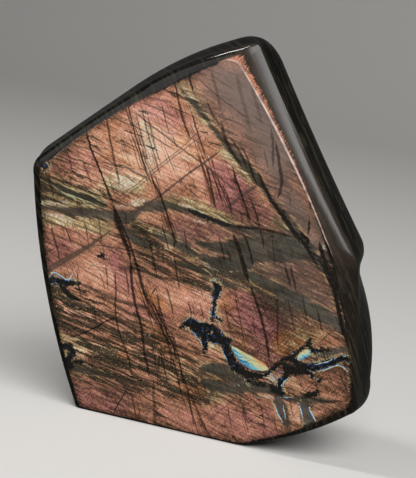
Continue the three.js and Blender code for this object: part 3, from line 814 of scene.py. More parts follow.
TAUPE_LINES = [
    (1.1, 0.85, (71, 144), (80, 147), (90, 150), (98, 154), (106, 159), (113, 165), (121, 168), (130, 169)),
    (1.3, 0.8, (96, 160), (105, 163), (114, 166), (125, 169)),
    (0.8, 0.6, (78, 146), (90, 148), (104, 149), (115, 151)),
    (1.0, 0.9, (107, 118), (116, 119), (124, 123), (134, 127), (144, 132), (154, 138), (164, 145),
     (175, 151)), (0.9, 0.7, (108, 136), (116, 141), (124, 146), (132, 150), (141, 153)),
    (1.3, 0.8, (113, 165), (122, 166), (129, 170), (136, 174), (143, 177), (151, 179)),
    (1.0, 0.8, (118, 172), (126, 177), (132, 182), (139, 186)),
    (0.9, 0.7, (105, 184), (113, 189), (122, 192), (132, 195), (143, 199)),
    (0.9, 0.65, (62, 168), (75, 169), (87, 171), (96, 177), (107, 186)),
    (0.9, 0.5, (55, 160), (68, 163), (80, 166), (96, 172)), (0.8, 0.5, (62, 155), (74, 160), (87, 164)),
    (1.1, 0.75, (136, 102), (148, 105), (159, 110), (169, 115), (181, 120)),
    (0.9, 0.65, (134, 108), (146, 112), (158, 117), (167, 123), (176, 130), (185, 135)),
    (1.3, 0.6, (142, 96), (153, 99), (164, 101), (177, 104)),
    (1.1, 0.9, (132, 111), (140, 117), (150, 126), (160, 133), (170, 141), (180, 149), (190, 156),
     (200, 163), (208, 169), (216, 176), (224, 183), (232, 189), (241, 193)),
    (0.9, 0.6, (150, 120), (158, 127), (166, 133), (176, 135), (189, 138)),
    (0.8, 0.5, (158, 111), (168, 119), (178, 125), (187, 128)),
    (0.8, 0.6, (143, 154), (152, 158), (164, 161)), (0.8, 0.6, (157, 141), (165, 145), (176, 151)),
    (0.8, 0.5, (162, 85), (168, 92), (175, 99)),
    (1.2, 0.55, (187, 105), (196, 107), (208, 108), (223, 110)),
    (0.8, 0.5, (200, 94), (209, 96), (219, 99)),
    (1.1, 0.75, (195, 74), (202, 83), (210, 90), (218, 97), (226, 103), (234, 109), (242, 116), (249, 120)),
    (1.4, 0.4, (207, 71), (216, 79), (226, 85), (237, 92)), (1.0, 0.85, (249, 113), (257, 119), (266, 126)),
    (0.8, 0.5, (181, 83), (188, 87), (196, 90)),
    (0.8, 0.95, (201, 129), (192, 137), (184, 145), (176, 152), (168, 158), (160, 164), (151, 171),
     (144, 178), (136, 185), (128, 190), (121, 195), (113, 200)),
    (0.8, 0.9, (205, 133), (196, 140), (188, 146), (180, 152), (172, 158), (163, 165), (154, 172),
     (147, 179), (140, 185), (132, 190), (126, 196), (118, 202)),
    (0.9, 0.7, (226, 110), (217, 117), (210, 123), (202, 129)),
    (0.9, 0.7, (231, 117), (221, 122), (213, 128), (204, 135)),
    (1.5, 0.85, (221, 150), (206, 161), (190, 172), (172, 186), (156, 198), (136, 212), (112, 231)),
    (2.0, 0.8, (259, 183), (250, 190), (241, 196), (232, 203), (221, 211)),
    (0.8, 0.6, (252, 181), (246, 186), (239, 192)),
    (0.9, 0.8, (75, 264), (84, 270), (93, 275), (102, 281), (111, 287), (120, 293), (131, 299)),
    (0.9, 0.8, (82, 257), (90, 263), (98, 269), (106, 276), (114, 283), (123, 290), (132, 297)),
    (0.8, 0.6, (80, 262), (95, 267), (108, 270), (122, 271), (133, 274)),
    (1.1, 0.9, (88, 245), (100, 246), (110, 248), (120, 249), (130, 251), (143, 253)),
    (1.0, 0.95, (39, 220), (50, 223), (60, 226), (68, 230), (76, 233), (82, 237), (89, 245)),
    (0.8, 0.6, (43, 229), (52, 234), (62, 238), (72, 241), (85, 247)),
    (0.8, 0.5, (42, 240), (50, 245), (60, 249), (73, 251)),
    (0.9, 0.75, (206, 167), (214, 169), (222, 171), (231, 174)),
    (1.0, 0.8, (216, 156), (224, 162), (232, 168), (240, 174), (251, 182)),
    (1.1, 0.75, (179, 184), (186, 189), (194, 196), (204, 203)),
    (0.9, 0.6, (183, 181), (192, 187), (201, 193), (211, 200)),
    (1.1, 0.8, (164, 192), (172, 199), (182, 207)), (0.8, 0.5, (170, 190), (179, 198), (189, 207)),
    (0.8, 0.4, (189, 174), (198, 182), (209, 190)),
    (1.2, 0.6, (283, 185), (292, 190), (301, 196), (309, 203)),
    (1.0, 0.55, (290, 203), (300, 208), (311, 213)),
    (1.6, 0.5, (262, 178), (272, 183), (282, 186), (293, 189)),
    (1.0, 0.6, (232, 302), (246, 310), (260, 318), (274, 325), (289, 330)),
    (0.8, 0.6, (250, 330), (260, 331), (273, 330)),
    (0.9, 0.6, (262, 312), (272, 318), (282, 324), (295, 330)),
    (1.1, 0.6, (256, 296), (270, 301), (284, 307), (298, 312), (313, 316)),
    (1.0, 0.6, (262, 302), (276, 308), (290, 313), (305, 318)),
    (1.0, 0.6, (280, 340), (294, 336), (306, 330), (316, 326)),
    (0.9, 0.7, (281, 355), (290, 351), (298, 345), (305, 342)),
    (0.9, 0.75, (294, 358), (300, 353), (307, 347)),
    (0.9, 0.65, (202, 427), (210, 420), (218, 413), (226, 406), (234, 398), (243, 389)),
    (0.8, 0.5, (172, 416), (180, 408), (188, 401)),
    (0.9, 0.65, (141, 387), (152, 396), (162, 405), (168, 410)),
    (1.0, 0.85, (137, 399), (145, 406), (154, 414)),
    (0.9, 0.55, (226, 407), (240, 412), (252, 415), (265, 418)),
    (0.8, 0.5, (222, 417), (240, 419), (256, 421), (271, 424)),
    (1.3, 0.6, (262, 416), (276, 420), (290, 424), (303, 430)),
    (0.8, 0.5, (205, 410), (222, 414), (238, 417)),
    (1.2, 0.5, (262, 262), (278, 268), (292, 272), (308, 280)),
    (1.3, 0.5, (285, 258), (300, 264), (314, 272), (324, 282)),
    (1.0, 0.5, (290, 284), (304, 290), (318, 296), (332, 300)),
    (1.2, 0.5, (296, 275), (310, 284), (322, 292)), (0.8, 0.5, (258, 212), (266, 208), (275, 204)),
    (0.8, 0.5, (262, 217), (270, 212), (278, 210)), (0.8, 0.5, (196, 319), (203, 313), (211, 308)),
]
DRIFT_LINES = [
    (2.0, 0.85, (39, 176), (48, 181), (58, 187), (70, 192), (82, 197), (94, 201), (107, 207)),
    (1.2, 0.7, (50, 176), (60, 181), (70, 185), (82, 190), (94, 196), (105, 203)),
    (1.3, 0.7, (40, 186), (50, 191), (60, 196), (75, 200)), (1.0, 0.6, (40, 193), (50, 198), (61, 201)),
    (2.0, 0.85, (78, 283), (88, 288), (98, 293), (108, 297), (120, 302), (134, 306), (151, 309)),
    (2.2, 0.9, (49, 295), (60, 298), (70, 302), (80, 305), (90, 309), (100, 313), (112, 317), (124, 322),
     (136, 328), (149, 333)), (1.2, 0.6, (52, 309), (62, 312), (72, 317), (85, 321)),
    (2.4, 0.9, (52, 316), (62, 317), (73, 321), (84, 324), (94, 328), (106, 331), (118, 334), (130, 338),
     (147, 343)), (2.2, 0.8, (55, 324), (66, 328), (78, 331), (91, 334)),
    (1.6, 0.8, (58, 331), (70, 335), (82, 339), (94, 342), (105, 345)),
    (1.8, 0.85, (76, 338), (88, 340), (100, 344), (112, 348), (124, 351), (138, 354), (155, 358)),
    (1.1, 0.7, (72, 342), (82, 346), (92, 351), (101, 355)),
    (2.2, 0.9, (86, 350), (98, 356), (108, 359), (120, 363), (134, 367), (150, 371), (168, 375)),
    (1.2, 0.7, (84, 360), (96, 362), (108, 365), (118, 370), (129, 375)),
    (2.4, 0.85, (70, 361), (82, 367), (94, 372), (108, 376), (120, 379), (134, 383), (151, 388)),
    (1.4, 0.7, (72, 378), (84, 381), (97, 384)),
    (1.3, 0.7, (78, 389), (92, 388), (104, 391), (116, 395), (127, 396)),
    (1.2, 0.7, (128, 385), (138, 390), (151, 396)),
    (2.0, 0.85, (140, 269), (150, 275), (162, 279), (174, 280), (186, 283), (198, 288), (210, 293)),
    (2.2, 0.9, (168, 260), (182, 265), (192, 269), (204, 275)),
    (1.6, 0.8, (144, 252), (158, 257), (172, 263)), (1.4, 0.7, (150, 267), (164, 272), (178, 277)),
    (1.5, 0.8, (128, 241), (138, 247), (150, 254), (163, 259)),
    (1.7, 0.85, (126, 232), (136, 238), (148, 244), (158, 250), (170, 255), (186, 261)),
    (1.4, 0.8, (148, 224), (158, 228), (168, 234), (178, 242)),
    (1.6, 0.8, (176, 243), (188, 250), (198, 258), (210, 265)),
    (1.3, 0.7, (112, 222), (122, 226), (132, 231), (144, 239)),
    (1.2, 0.7, (68, 222), (82, 228), (96, 233), (106, 237)), (1.1, 0.6, (96, 218), (106, 223), (116, 229)),
    (1.4, 0.75, (178, 347), (190, 351), (202, 354), (216, 358)),
    (1.3, 0.7, (178, 355), (190, 360), (205, 365)), (1.2, 0.65, (184, 367), (196, 373), (209, 378)),
    (1.2, 0.6, (158, 372), (176, 378), (192, 383), (207, 388)),
    (1.2, 0.6, (158, 387), (174, 390), (190, 394)), (1.0, 0.6, (164, 400), (180, 403), (194, 407)),
    (1.4, 0.7, (96, 295), (108, 301), (118, 308), (130, 314), (142, 320)),
    (1.2, 0.6, (236, 282), (250, 288), (266, 292)), (1.0, 0.6, (138, 345), (152, 350), (168, 356)),
    (1.2, 0.7, (142, 360), (156, 364), (170, 367)), (1.0, 0.6, (196, 392), (206, 396), (214, 402)),
]
NEEDLE_LINES = [
    (1.2, 1.0, (157, 284), (152, 292), (147, 300)), (0.9, 0.9, (142, 279), (136, 288)),
    (1.1, 1.0, (129, 386), (124, 394), (119, 402), (112, 417)), (0.8, 0.8, (144, 263), (141, 268)),
    (0.8, 0.8, (229, 352), (236, 357), (243, 363)), (0.7, 0.8, (235, 366), (250, 360), (261, 364)),
    (0.7, 0.8, (231, 360), (241, 357), (254, 361)), (0.7, 0.7, (246, 357), (251, 364), (255, 371)),
    (0.7, 0.7, (257, 360), (259, 366), (260, 372)), (0.7, 0.7, (300, 354), (305, 357), (309, 360)),
]

# %% [markdown]
# The rims of the veins are lines too. Each is drawn with its vein on the left, and turns from blue there,
# over nearly white, to gold on the right.

# %% Rims of the veins
RIM_LINES = [
    (1.3, 0.9, (211, 280), (209, 284), (210, 290)), (1.3, 0.9, (208, 295), (211, 299), (211, 306)),
    (1.6, 1.0, (212, 307), (209, 311), (208, 316), (208, 321)),
    (1.5, 1.0, (217, 319), (214, 314), (213, 307)),
    (1.4, 0.9, (216, 303), (217, 297), (219, 293), (223, 291)),
    (1.3, 0.9, (221, 281), (215, 279), (210, 281)), (1.6, 0.95, (203, 323), (197, 323), (194, 320)),
    (1.0, 0.7, (190, 317), (184, 321), (180, 325)),
    (1.5, 0.95, (187, 330), (192, 333), (196, 338), (200, 343), (202, 350)),
    (1.2, 0.8, (205, 347), (213, 344), (220, 345)),
    (1.6, 0.9, (220, 347), (222, 353), (225, 358), (227, 364)),
    (2.0, 1.0, (74, 271), (71, 276), (69, 280), (65, 280), (60, 276), (55, 273), (51, 273), (48, 280)),
    (1.4, 0.9, (51, 284), (56, 283), (60, 287)), (1.8, 1.0, (284, 390), (281, 386), (284, 381), (290, 377)),
    (1.6, 0.95, (266, 375), (272, 376), (275, 381), (278, 388)),
    (1.7, 0.95, (314, 372), (324, 370), (331, 367), (337, 365), (343, 367), (351, 374)),
    (1.6, 0.95, (336, 358), (327, 362), (319, 364), (311, 366)),
    (1.3, 0.8, (308, 375), (314, 378), (320, 380)), (1.8, 0.95, (349, 355), (344, 357), (339, 352)),
    (2.4, 1.0, (318, 425), (313, 416), (310, 410), (309, 403)),
    (2.4, 1.0, (298, 402), (301, 410), (304, 420)), (2.2, 0.95, (286, 421), (284, 412), (283, 403)),
    (2.2, 1.0, (272, 401), (276, 409), (279, 416), (284, 424)), (1.2, 0.8, (76, 353), (84, 358)),
    (1.2, 0.6, (92, 368), (84, 364)), (1.2, 0.8, (297, 398), (278, 397)),
    (1.2, 0.7, (242, 389), (236, 384), (232, 379)), (1.3, 0.8, (288, 356), (296, 352)),
    (1.2, 0.8, (285, 373), (279, 372), (275, 368)),
]
print(len(DARK_LINES), "dark,", len(TAUPE_LINES), "taupe,", len(DRIFT_LINES), "drift and",
      len(RIM_LINES), "rim lines")

# %% [markdown]
# A thin line would be lost between the points of the mesh if they held its distance as it is. They hold it
# with a sign, positive on the line's left, and a signed distance crosses zero exactly on the line, however
# coarse the net. Lines that come near each other would disturb one another, so each goes to the first layer
# where it has room.

# %% Lines in layers
REACH = 2.2
TAPER = 6.0
EMPTY = (0.0, -12.0, 0.0)


def follow(near, stops):
    """For the spots near a line: the signed distance, the way to its nearer end, and the distance."""
    path = np.array([on_face(stop) for stop in stops])
    spots = ground[near]
    nearest, side, to_end = np.full(len(spots), 1e3), np.zeros(len(spots)), np.zeros(len(spots))
    lengths = np.linalg.norm(np.diff(path, axis=0), axis=1)
    reached = np.concatenate([[0], np.cumsum(lengths)])
    for i, (a, b) in enumerate(zip(path, path[1:])):
        way = (b - a) / lengths[i]
        gone = (spots - a) @ way
        kept = np.clip(gone, 0, lengths[i])
        away = np.linalg.norm(spots - a - kept[:, None] * way, axis=1)
        left = way[0] * (spots[:, 1] - a[1]) - way[1] * (spots[:, 0] - a[0])
        closer = away < nearest
        nearest[closer] = away[closer]
        side[closer] = (np.sign(left) * away)[closer]
        place_along = reached[i] + np.where(i == 0, np.minimum(gone, lengths[i]), np.maximum(gone, 0))
        place_along = place_along if i == len(lengths) - 1 else np.minimum(place_along, reached[i + 1])
        to_end[closer] = np.minimum(place_along, reached[-1] - place_along)[closer]
    return side, to_end, nearest


def lay(name, lines, swell=1.0):
    """Stores lines as vectors of signed distance, half width and strength. Returns the attributes' names."""
    layers = []
    for width, strength, *stops in lines:
        half = swell * width / 2
        path = np.array([on_face(stop) for stop in stops])
        margin = half + REACH + 2 * NET
        near = np.flatnonzero(((ground > path.min(0) - margin) & (ground < path.max(0) + margin)).all(1))
        side, to_end, away = follow(near, stops)
        size = np.minimum(half * np.minimum(1, to_end / TAPER), to_end)
        guard = near[away < half + REACH + 1.6 * NET]
        layer = next((layer for layer in layers if not layer[1][guard].any()), None)
        if layer is None:
            layer = (np.tile(EMPTY, (len(ground), 1)), np.zeros(len(ground), bool))
            layers.append(layer)
        own = away < half + REACH
        layer[0][near[own]] = np.stack([side, size, np.full(len(near), strength)], 1)[own]
        layer[1][guard] = True
    names = [f"{name}_{i}" for i in range(len(layers))]
    for label, (values, _) in zip(names, layers):
        attribute = mesh.attributes.new(label, "FLOAT_VECTOR", "POINT")
        attribute.data.foreach_set("vector", values.ravel().astype(np.float32))
    print(name, "lines lie in", len(names), "layers")
    return names


dark_layers = lay("dark", DARK_LINES, 1.9)
taupe_layers = lay("taupe", TAUPE_LINES, 1.5)
drift_layers = lay("drift", DRIFT_LINES, 1.7)
needle_layers = lay("needle", NEEDLE_LINES, 1.2)
rim_layers = lay("rim", RIM_LINES, 0.9)

# %% [markdown]
# The shader is built by code, so a small helper keeps each step to one line. It adds every node after the
# nodes that feed it, which also keeps few values waiting at a time while the shader runs. Colours are named
# as the 0 to 255 values that a picture shows, and turned into the linear values that light works with.

# %% A helper for node trees
class Paint:
    """Adds nodes to one tree. A value is a number, a colour, a vector or another node's output."""

    def __init__(self, tree):
        self.tree = tree

    def feed(self, socket, value):
        if isinstance(value, bpy.types.NodeSocket):
            self.tree.links.new(value, socket)
        elif value is not None:
            socket.default_value = value

    def add(self, kind, *values, **settings):
        node = self.tree.nodes.new("ShaderNode" + kind)
        for key, value in settings.items():
            setattr(node, key, value)
        for socket, value in zip(node.inputs, values):
            self.feed(socket, value)
        return node

    def calc(self, operation, *values):
        return self.add("Math", *values, operation=operation).outputs[0]

    def sway(self, base, source, weight):
        """Moves a value up or down by a noise, whose middle is 0.5."""
        return self.calc("MULTIPLY_ADD", self.calc("SUBTRACT", source, 0.5), weight, base)

    def mix(self, share, first, second):
        node = self.add("Mix", data_type="RGBA")
        for index, value in ((0, share), (6, first), (7, second)):
            self.feed(node.inputs[index], value)
        return node.outputs[2]

    def step(self, value, low, high, to_low=0.0, to_high=1.0):
        """A smooth step from to_low to to_high as the value goes from low to high."""
        return self.add(
            "MapRange", value, low, high, to_low, to_high, interpolation_type="SMOOTHSTEP").outputs[0]

    def noise(self, vector, scale, detail=2.0, rough=0.5):
        return self.add("TexNoise", vector, None, scale, detail, rough).outputs["Fac"]

    def field(self, name, output="Fac"):
        """A number or vector stored on the mesh."""
        return self.add("Attribute", attribute_name=name).outputs[output]

    def ramp(self, value, *stops):
        """A colour that follows a value through stops of position and colour."""
        node = self.add("ValToRGB", value)
        elements = node.color_ramp.elements
        while len(elements) < len(stops):
            elements.new(0.5)
        for element, (position, tone) in zip(elements, stops):
            element.position = position
            element.color = tone
        return node.outputs[0]

    def use(self, group, **values):
        """Places a node group and returns its outputs."""
        node = self.add("Group", node_tree=group)
        for name, value in values.items():
            self.feed(node.inputs[name], value)
        return node.outputs


def shade(red, green, blue):
    """A colour as a picture shows it, from 0 to 255, in linear light."""
    linear = [((c / 255 + 0.055) / 1.055) ** 2.4 if c > 10 else c / 255 / 12.92 for c in (red, green, blue)]
    return (*linear, 1.0)


def new_group(name, inputs, outputs):
    """A shader node group with named inputs and outputs. Returns it, its painter and its inputs by name."""
    tree = bpy.data.node_groups.new(name, "ShaderNodeTree")
    for label, kind, default in inputs:
        socket = tree.interface.new_socket(label, in_out="INPUT", socket_type="NodeSocket" + kind)
        socket.default_value = default
    for label in outputs:
        tree.interface.new_socket(label, in_out="OUTPUT", socket_type="NodeSocketFloat")
    start = tree.nodes.new("NodeGroupInput")
    return tree, Paint(tree), {s.name: s for s in start.outputs if s.name}


def close_group(paint, *results):
    """Ends a group with its outputs."""
    end = paint.tree.nodes.new("NodeGroupOutput")
    for socket, result in zip(end.inputs, results):
        paint.feed(socket, result)


# %% [markdown]
# Two effects repeat all over the stone. A lane is noise drawn out along one direction, as the layers and
# needles of the crystal are. A line layer turns one stored layer of lines into a mask: Sway moves a line
# aside, Bead swells and pinches it, and Crisp says how quickly it ends at its edge. Its second output runs
# from 0 on the right of the line to 1 on its left.

# %% Node groups: lane and line layer
lane_group, paint, given = new_group("lane", [
    ("Ground", "Vector", (0, 0, 0)), ("Turn", "Vector", (0, 0, 0)), ("Size", "Vector", (20, 1, 1)),
    ("Place", "Vector", (0, 0, 0)), ("Detail", "Float", 2.0)], ["Value"])
spot = paint.add(
    "Mapping", given["Ground"], given["Place"], given["Turn"], given["Size"], vector_type="TEXTURE")
close_group(paint, paint.noise(spot.outputs[0], 1.0, given["Detail"], 0.55))

line_group, paint, given = new_group("line layer", [
    ("Layer", "Vector", (0, -12, 0)), ("Sway", "Float", 0.0), ("Bead", "Float", 0.0), ("Crisp", "Float", 1.8),
    ("So far", "Float", 0.0)], ["Mask", "Across"])
side, size, strength = paint.add("SeparateXYZ", given["Layer"]).outputs
side = paint.calc("ADD", side, given["Sway"])
half = paint.calc("ADD", size, given["Bead"])
within = paint.calc("SUBTRACT", half, paint.calc("ABSOLUTE", side))
within = paint.calc("MINIMUM", paint.calc("MULTIPLY", within, given["Crisp"]), 1.0)
mask = paint.calc("MAXIMUM", paint.calc("MULTIPLY", within, strength), given["So far"])
share = paint.calc("DIVIDE", side, paint.calc("MAXIMUM", paint.calc("MULTIPLY", half, 2.0), 0.1))
close_group(paint, mask, paint.calc("ADD", share, 0.5))
print("groups:", [g.name for g in bpy.data.node_groups])

# %% [markdown]
# The material starts with the ground: the place in the stone in millimetres, along the leaning layers. A
# little slow noise bends it, so that no streak is ruler straight. Directions are measured between two photo
# pixels.

# %% Stone material: ground and directions
material = bpy.data.materials.new("polished labradorite")
material.use_nodes = True
material.node_tree.nodes.clear()
paint = Paint(material.node_tree)

where = paint.add("TexCoord").outputs["Object"]
where_mm = paint.add("VectorMath", where, operation="SCALE")
where_mm.inputs["Scale"].default_value = 1 / MM
axes = []
for axis, lean in (((1, LEAN[0], 0), LEAN[0]), ((0, LEAN[1], 1), LEAN[1])):
    along = paint.add("VectorMath", where_mm.outputs[0], axis, operation="DOT_PRODUCT").outputs["Value"]
    axes.append(paint.calc("ADD", along, -lean * SHOW_FACE["y"]))
plain_ground = paint.add("CombineXYZ", *axes).outputs[0]

BEND = 1.3
bend_noise = paint.add("TexNoise", plain_ground, None, 0.06, 3.0, 0.5).outputs["Color"]
bend_noise = paint.add("VectorMath", bend_noise, (0.5, 0.5, 0.5), operation="SUBTRACT").outputs[0]
bend_scaled = paint.add("VectorMath", bend_noise, operation="SCALE")
bend_scaled.inputs["Scale"].default_value = 2 * BEND
bent_ground = paint.add("VectorMath", plain_ground, bend_scaled.outputs[0], operation="ADD").outputs[0]


def heading(start, end):
    """The direction from one photo pixel to another, as an angle in the stone's own upright frame."""
    way = on_face(end) - on_face(start)
    return math.atan2(way[1], way[0])


def lane(angle, length, width, seed, detail=2.0):
    """Noise drawn out along a direction, in lanes of about this length and width in mm."""
    return paint.use(lane_group, Ground=bent_ground, Turn=(0, 0, angle), Size=(length, width, 1),
                     Place=(37.0 * seed, 11.0 * seed, 0), Detail=detail)[0]


NEEDLE_WAY = heading((55, 318), (140, 352))
UPPER_WAY = heading((145, 133), (207, 170))
STEEP_WAY = heading((122, 107), (168, 232))
TWIN_WAY = heading((155, 306), (175, 286))
LENS_WAY = heading((230, 350), (240, 355))
WALL_WAY = heading((300, 110), (350, 230))
print("streaks run at", [round(math.degrees(a)) for a in (NEEDLE_WAY, UPPER_WAY, STEEP_WAY, TWIN_WAY)])

# %% [markdown]
# The flash: its colour follows one level, which is the drawn brightness plus clouds, brush marks along the
# layers and fine hatching across them. Four ramps give that level in salmon, rose, amber and gold, and the
# drawn zones choose between them. In the cream zones a pale tone lies over all four.

# %% Stone material: the flash
needle_lane = lane(NEEDLE_WAY, 26, 1.9, 1, 3)
upper_lane = lane(UPPER_WAY, 30, 1.6, 2, 3)
steep_lane = lane(STEEP_WAY, 34, 1.0, 3, 3)
twin_lane = lane(TWIN_WAY, 9, 0.8, 4, 1)
clouds = paint.noise(plain_ground, 0.05, 4, 0.6)
grit = paint.noise(plain_ground, 0.9, 4, 0.65)
grain = paint.noise(plain_ground, 0.45, 4, 0.7)

level = paint.calc("MULTIPLY_ADD", paint.field("bright"), 0.70, 0.26)
level = paint.calc("ADD", level, paint.step(paint.field("flash"), -1.0, 7.0, 0.0, 0.27))
for source, weight in ((clouds, 0.55), (needle_lane, 0.75), (upper_lane, 0.75), (steep_lane, 0.55),
                       (twin_lane, 0.5), (grit, 0.75)):
    level = paint.sway(level, source, weight)

FLASH_STOPS = (0.0, 0.28, 0.5, 0.75, 1.0)


def flash_ramp(*tones):
    """The flash's level as a colour, from its darkest tone to its brightest."""
    return paint.ramp(level, *zip(FLASH_STOPS, [shade(*tone) for tone in tones]))


salmon = flash_ramp((34, 27, 20), (96, 69, 52), (160, 111, 88), (216, 152, 122), (246, 198, 170))
rose = flash_ramp((40, 24, 26), (98, 58, 58), (158, 102, 98), (206, 134, 126), (236, 176, 162))
gold = flash_ramp((36, 32, 22), (92, 78, 54), (152, 126, 88), (212, 186, 138), (250, 240, 208))
amber = flash_ramp((42, 26, 12), (112, 70, 40), (174, 112, 70), (224, 156, 104), (250, 204, 158))

drift_noise = paint.noise(bent_ground, 0.11, 3, 0.6)
rose_share = paint.sway(paint.field("rose"), drift_noise, 1.3)
flash = paint.mix(paint.step(rose_share, 0.1, 1.1), salmon, rose)
amber_share = paint.sway(paint.sway(paint.field("amber"), clouds, -2.2), grit, 1.2)
flash = paint.mix(paint.step(amber_share, 0.1, 1.0), flash, amber)
gold_share = paint.sway(paint.sway(paint.field("gold"), needle_lane, 1.8), grit, 0.9)
flash = paint.mix(paint.step(gold_share, 0.2, 0.9), flash, gold)
cream_share = paint.sway(paint.sway(paint.field("cream"), needle_lane, 1.5), grit, 2.6)
cream_tone = paint.mix(paint.step(grain, 0.42, 0.6), shade(196, 166, 132), shade(238, 230, 210))
flash = paint.mix(paint.step(cream_share, 0.25, 1.05, 0, 0.9), flash, cream_tone)

# %% [markdown]
# Streaks and painted reflection: grey needles lie in the layers in drifts, thickest at the lower left, and
# steep cracks gather in bundles. A pale grey sheet over the upper right is a painted reflection of light
# thrown back by the polish.

# %% Stone material: streaks and painted reflection
crowd = paint.calc("MINIMUM", paint.field("needles"), 1.0)
needle_tone = paint.mix(paint.step(grit, 0.44, 0.64), shade(30, 26, 18), shade(86, 76, 60))
for source, weight in (
        (lane(NEEDLE_WAY, 42, 3.2, 5, 4), 0.95), (lane(NEEDLE_WAY - 0.08, 24, 1.5, 6, 3), 0.9)):
    amount = paint.sway(paint.calc("MULTIPLY_ADD", crowd, 0.15, source), grit, 0.32)
    flash = paint.mix(paint.step(amount, 0.635, 0.67, 0, weight), flash, needle_tone)
glints = paint.calc("MULTIPLY", paint.step(paint.noise(bent_ground, 0.75, 3, 0.6), 0.58, 0.64), crowd)
glints = paint.calc("MULTIPLY", glints, paint.step(needle_lane, 0.42, 0.58, 0, 0.7))
flash = paint.mix(glints, flash, shade(214, 186, 132))
bundle = paint.calc("MULTIPLY", paint.calc("MINIMUM", paint.field("steep"), 1.0), 0.11)
steep_tone = paint.mix(paint.step(grain, 0.4, 0.6), shade(84, 44, 22), shade(36, 26, 16))
for source, weight in ((steep_lane, 0.8), (lane(STEEP_WAY - 0.05, 45, 0.8, 7, 2), 0.7)):
    amount = paint.sway(paint.calc("ADD", source, bundle), grit, 0.10)
    flash = paint.mix(paint.step(amount, 0.62, 0.68, 0, weight), flash, steep_tone)
upper_dark = paint.step(lane(UPPER_WAY, 28, 1.2, 8, 3), 0.60, 0.70, 0, 0.6)
flash = paint.mix(upper_dark, flash, shade(92, 68, 62))
# Painted reflection: a pale grey tone over the upper right, standing in for light thrown back by the polish.
painted_reflection_share = paint.calc("MULTIPLY", paint.field("painted_reflection"), paint.step(upper_lane, 0.2, 0.7, 0.6, 1.0))
flash = paint.mix(paint.calc("MULTIPLY", painted_reflection_share, 0.95), flash, shade(136, 119, 111))

# %% [markdown]
# Bands: the stored distance plus some noise gives a ragged, streaky edge. Inside a band the stone is grey,
# with paler and darker streaks. Just outside it lies a broken gold rim.

# %% Stone material: bands
band_edge = paint.sway(paint.sway(paint.field("grey"), needle_lane, 5.5), grit, 3.0)
band_level = paint.sway(paint.sway(0.46, steep_lane, 0.4), needle_lane, 0.5)
band_level = paint.sway(paint.sway(band_level, clouds, 0.8), grit, 0.4)
band_tone = paint.ramp(
    band_level, (0.2, shade(30, 29, 23)), (0.42, shade(64, 62, 53)), (0.6, shade(86, 83, 74)),
    (0.85, shade(112, 110, 99)))
rim = paint.calc("MULTIPLY", paint.step(band_edge, 0.0, 0.8), paint.step(band_edge, 2.6, 0.9))
rim = paint.calc("MULTIPLY", rim, paint.step(upper_lane, 0.48, 0.62))
rim_tone = paint.mix(paint.step(gold_share, 0.3, 1.0), shade(186, 152, 104), shade(206, 206, 166))
flash = paint.mix(paint.calc("MULTIPLY", rim, 0.85), flash, rim_tone)
flash = paint.mix(paint.step(band_edge, 1.0, -1.4, 0, 0.92), flash, band_tone)

# %% [markdown]
# The drawn lines follow, family by family. Each layer of lines takes the mask so far and hands on the
# larger of the two, so a family ends in one mask.

# %% Stone material: drawn lines
wobble = paint.calc("SUBTRACT", paint.noise(plain_ground, 0.28, 4, 0.6), 0.5)
pinch = paint.calc("SUBTRACT", grit, 0.5)


def draw(layers, rag, bead, crisp):
    """The mask of a family of drawn lines."""
    mask = 0.0
    sway, swell = paint.calc("MULTIPLY", wobble, rag), paint.calc("MULTIPLY", pinch, bead)
    for name in layers:
        mask = paint.use(line_group, Layer=paint.field(name, "Vector"), Sway=sway, Bead=swell, Crisp=crisp,
                         **{"So far": mask})[0]
    return mask


drift_mask = draw(drift_layers, 2.6, 3.2, 1.3)
drift_mask = paint.calc("MULTIPLY", drift_mask, paint.step(grit, 0.36, 0.50, 0.25, 1.0))
drift_tone = paint.mix(paint.step(grit, 0.50, 0.62), shade(38, 35, 26), shade(84, 80, 66))
flash = paint.mix(drift_mask, flash, drift_tone)
flash = paint.mix(draw(taupe_layers, 1.1, 0.9, 1.5), flash, shade(82, 68, 58))
stripe_edge = paint.sway(paint.field("stripe"), grit, 1.2)
flash = paint.mix(paint.step(stripe_edge, 0.5, -0.5, 0, 0.82), flash, shade(86, 71, 60))
dark_mask = draw(dark_layers, 1.8, 3.0, 2.6)
dark_tone = paint.mix(paint.step(grain, 0.5, 0.64), shade(22, 18, 12), shade(66, 40, 24))
flash = paint.mix(dark_mask, flash, dark_tone)

# %% [markdown]
# Veins last. The lenses run from blue over cyan and cream to gold, in stripes. A vein is black with a
# ragged edge and a few blue specks, and the rims lie over its edge.

# %% Stone material: lenses, veins and rims
lens_lane = lane(LENS_WAY, 14, 1.5, 9, 2)
lens_level = paint.sway(paint.sway(paint.field("lens_rise"), lens_lane, 1.1), grit, 0.4)
lens_tone = paint.ramp(
    lens_level, (0.0, shade(16, 34, 70)), (0.2, shade(44, 108, 168)), (0.42, shade(120, 196, 206)),
    (0.62, shade(214, 220, 172)), (0.84, shade(222, 176, 106)), (1.0, shade(206, 138, 92)))
lens_edge = paint.sway(paint.field("lens"), grit, 1.6)
flash = paint.mix(paint.step(lens_edge, 0.3, -0.5), flash, lens_tone)

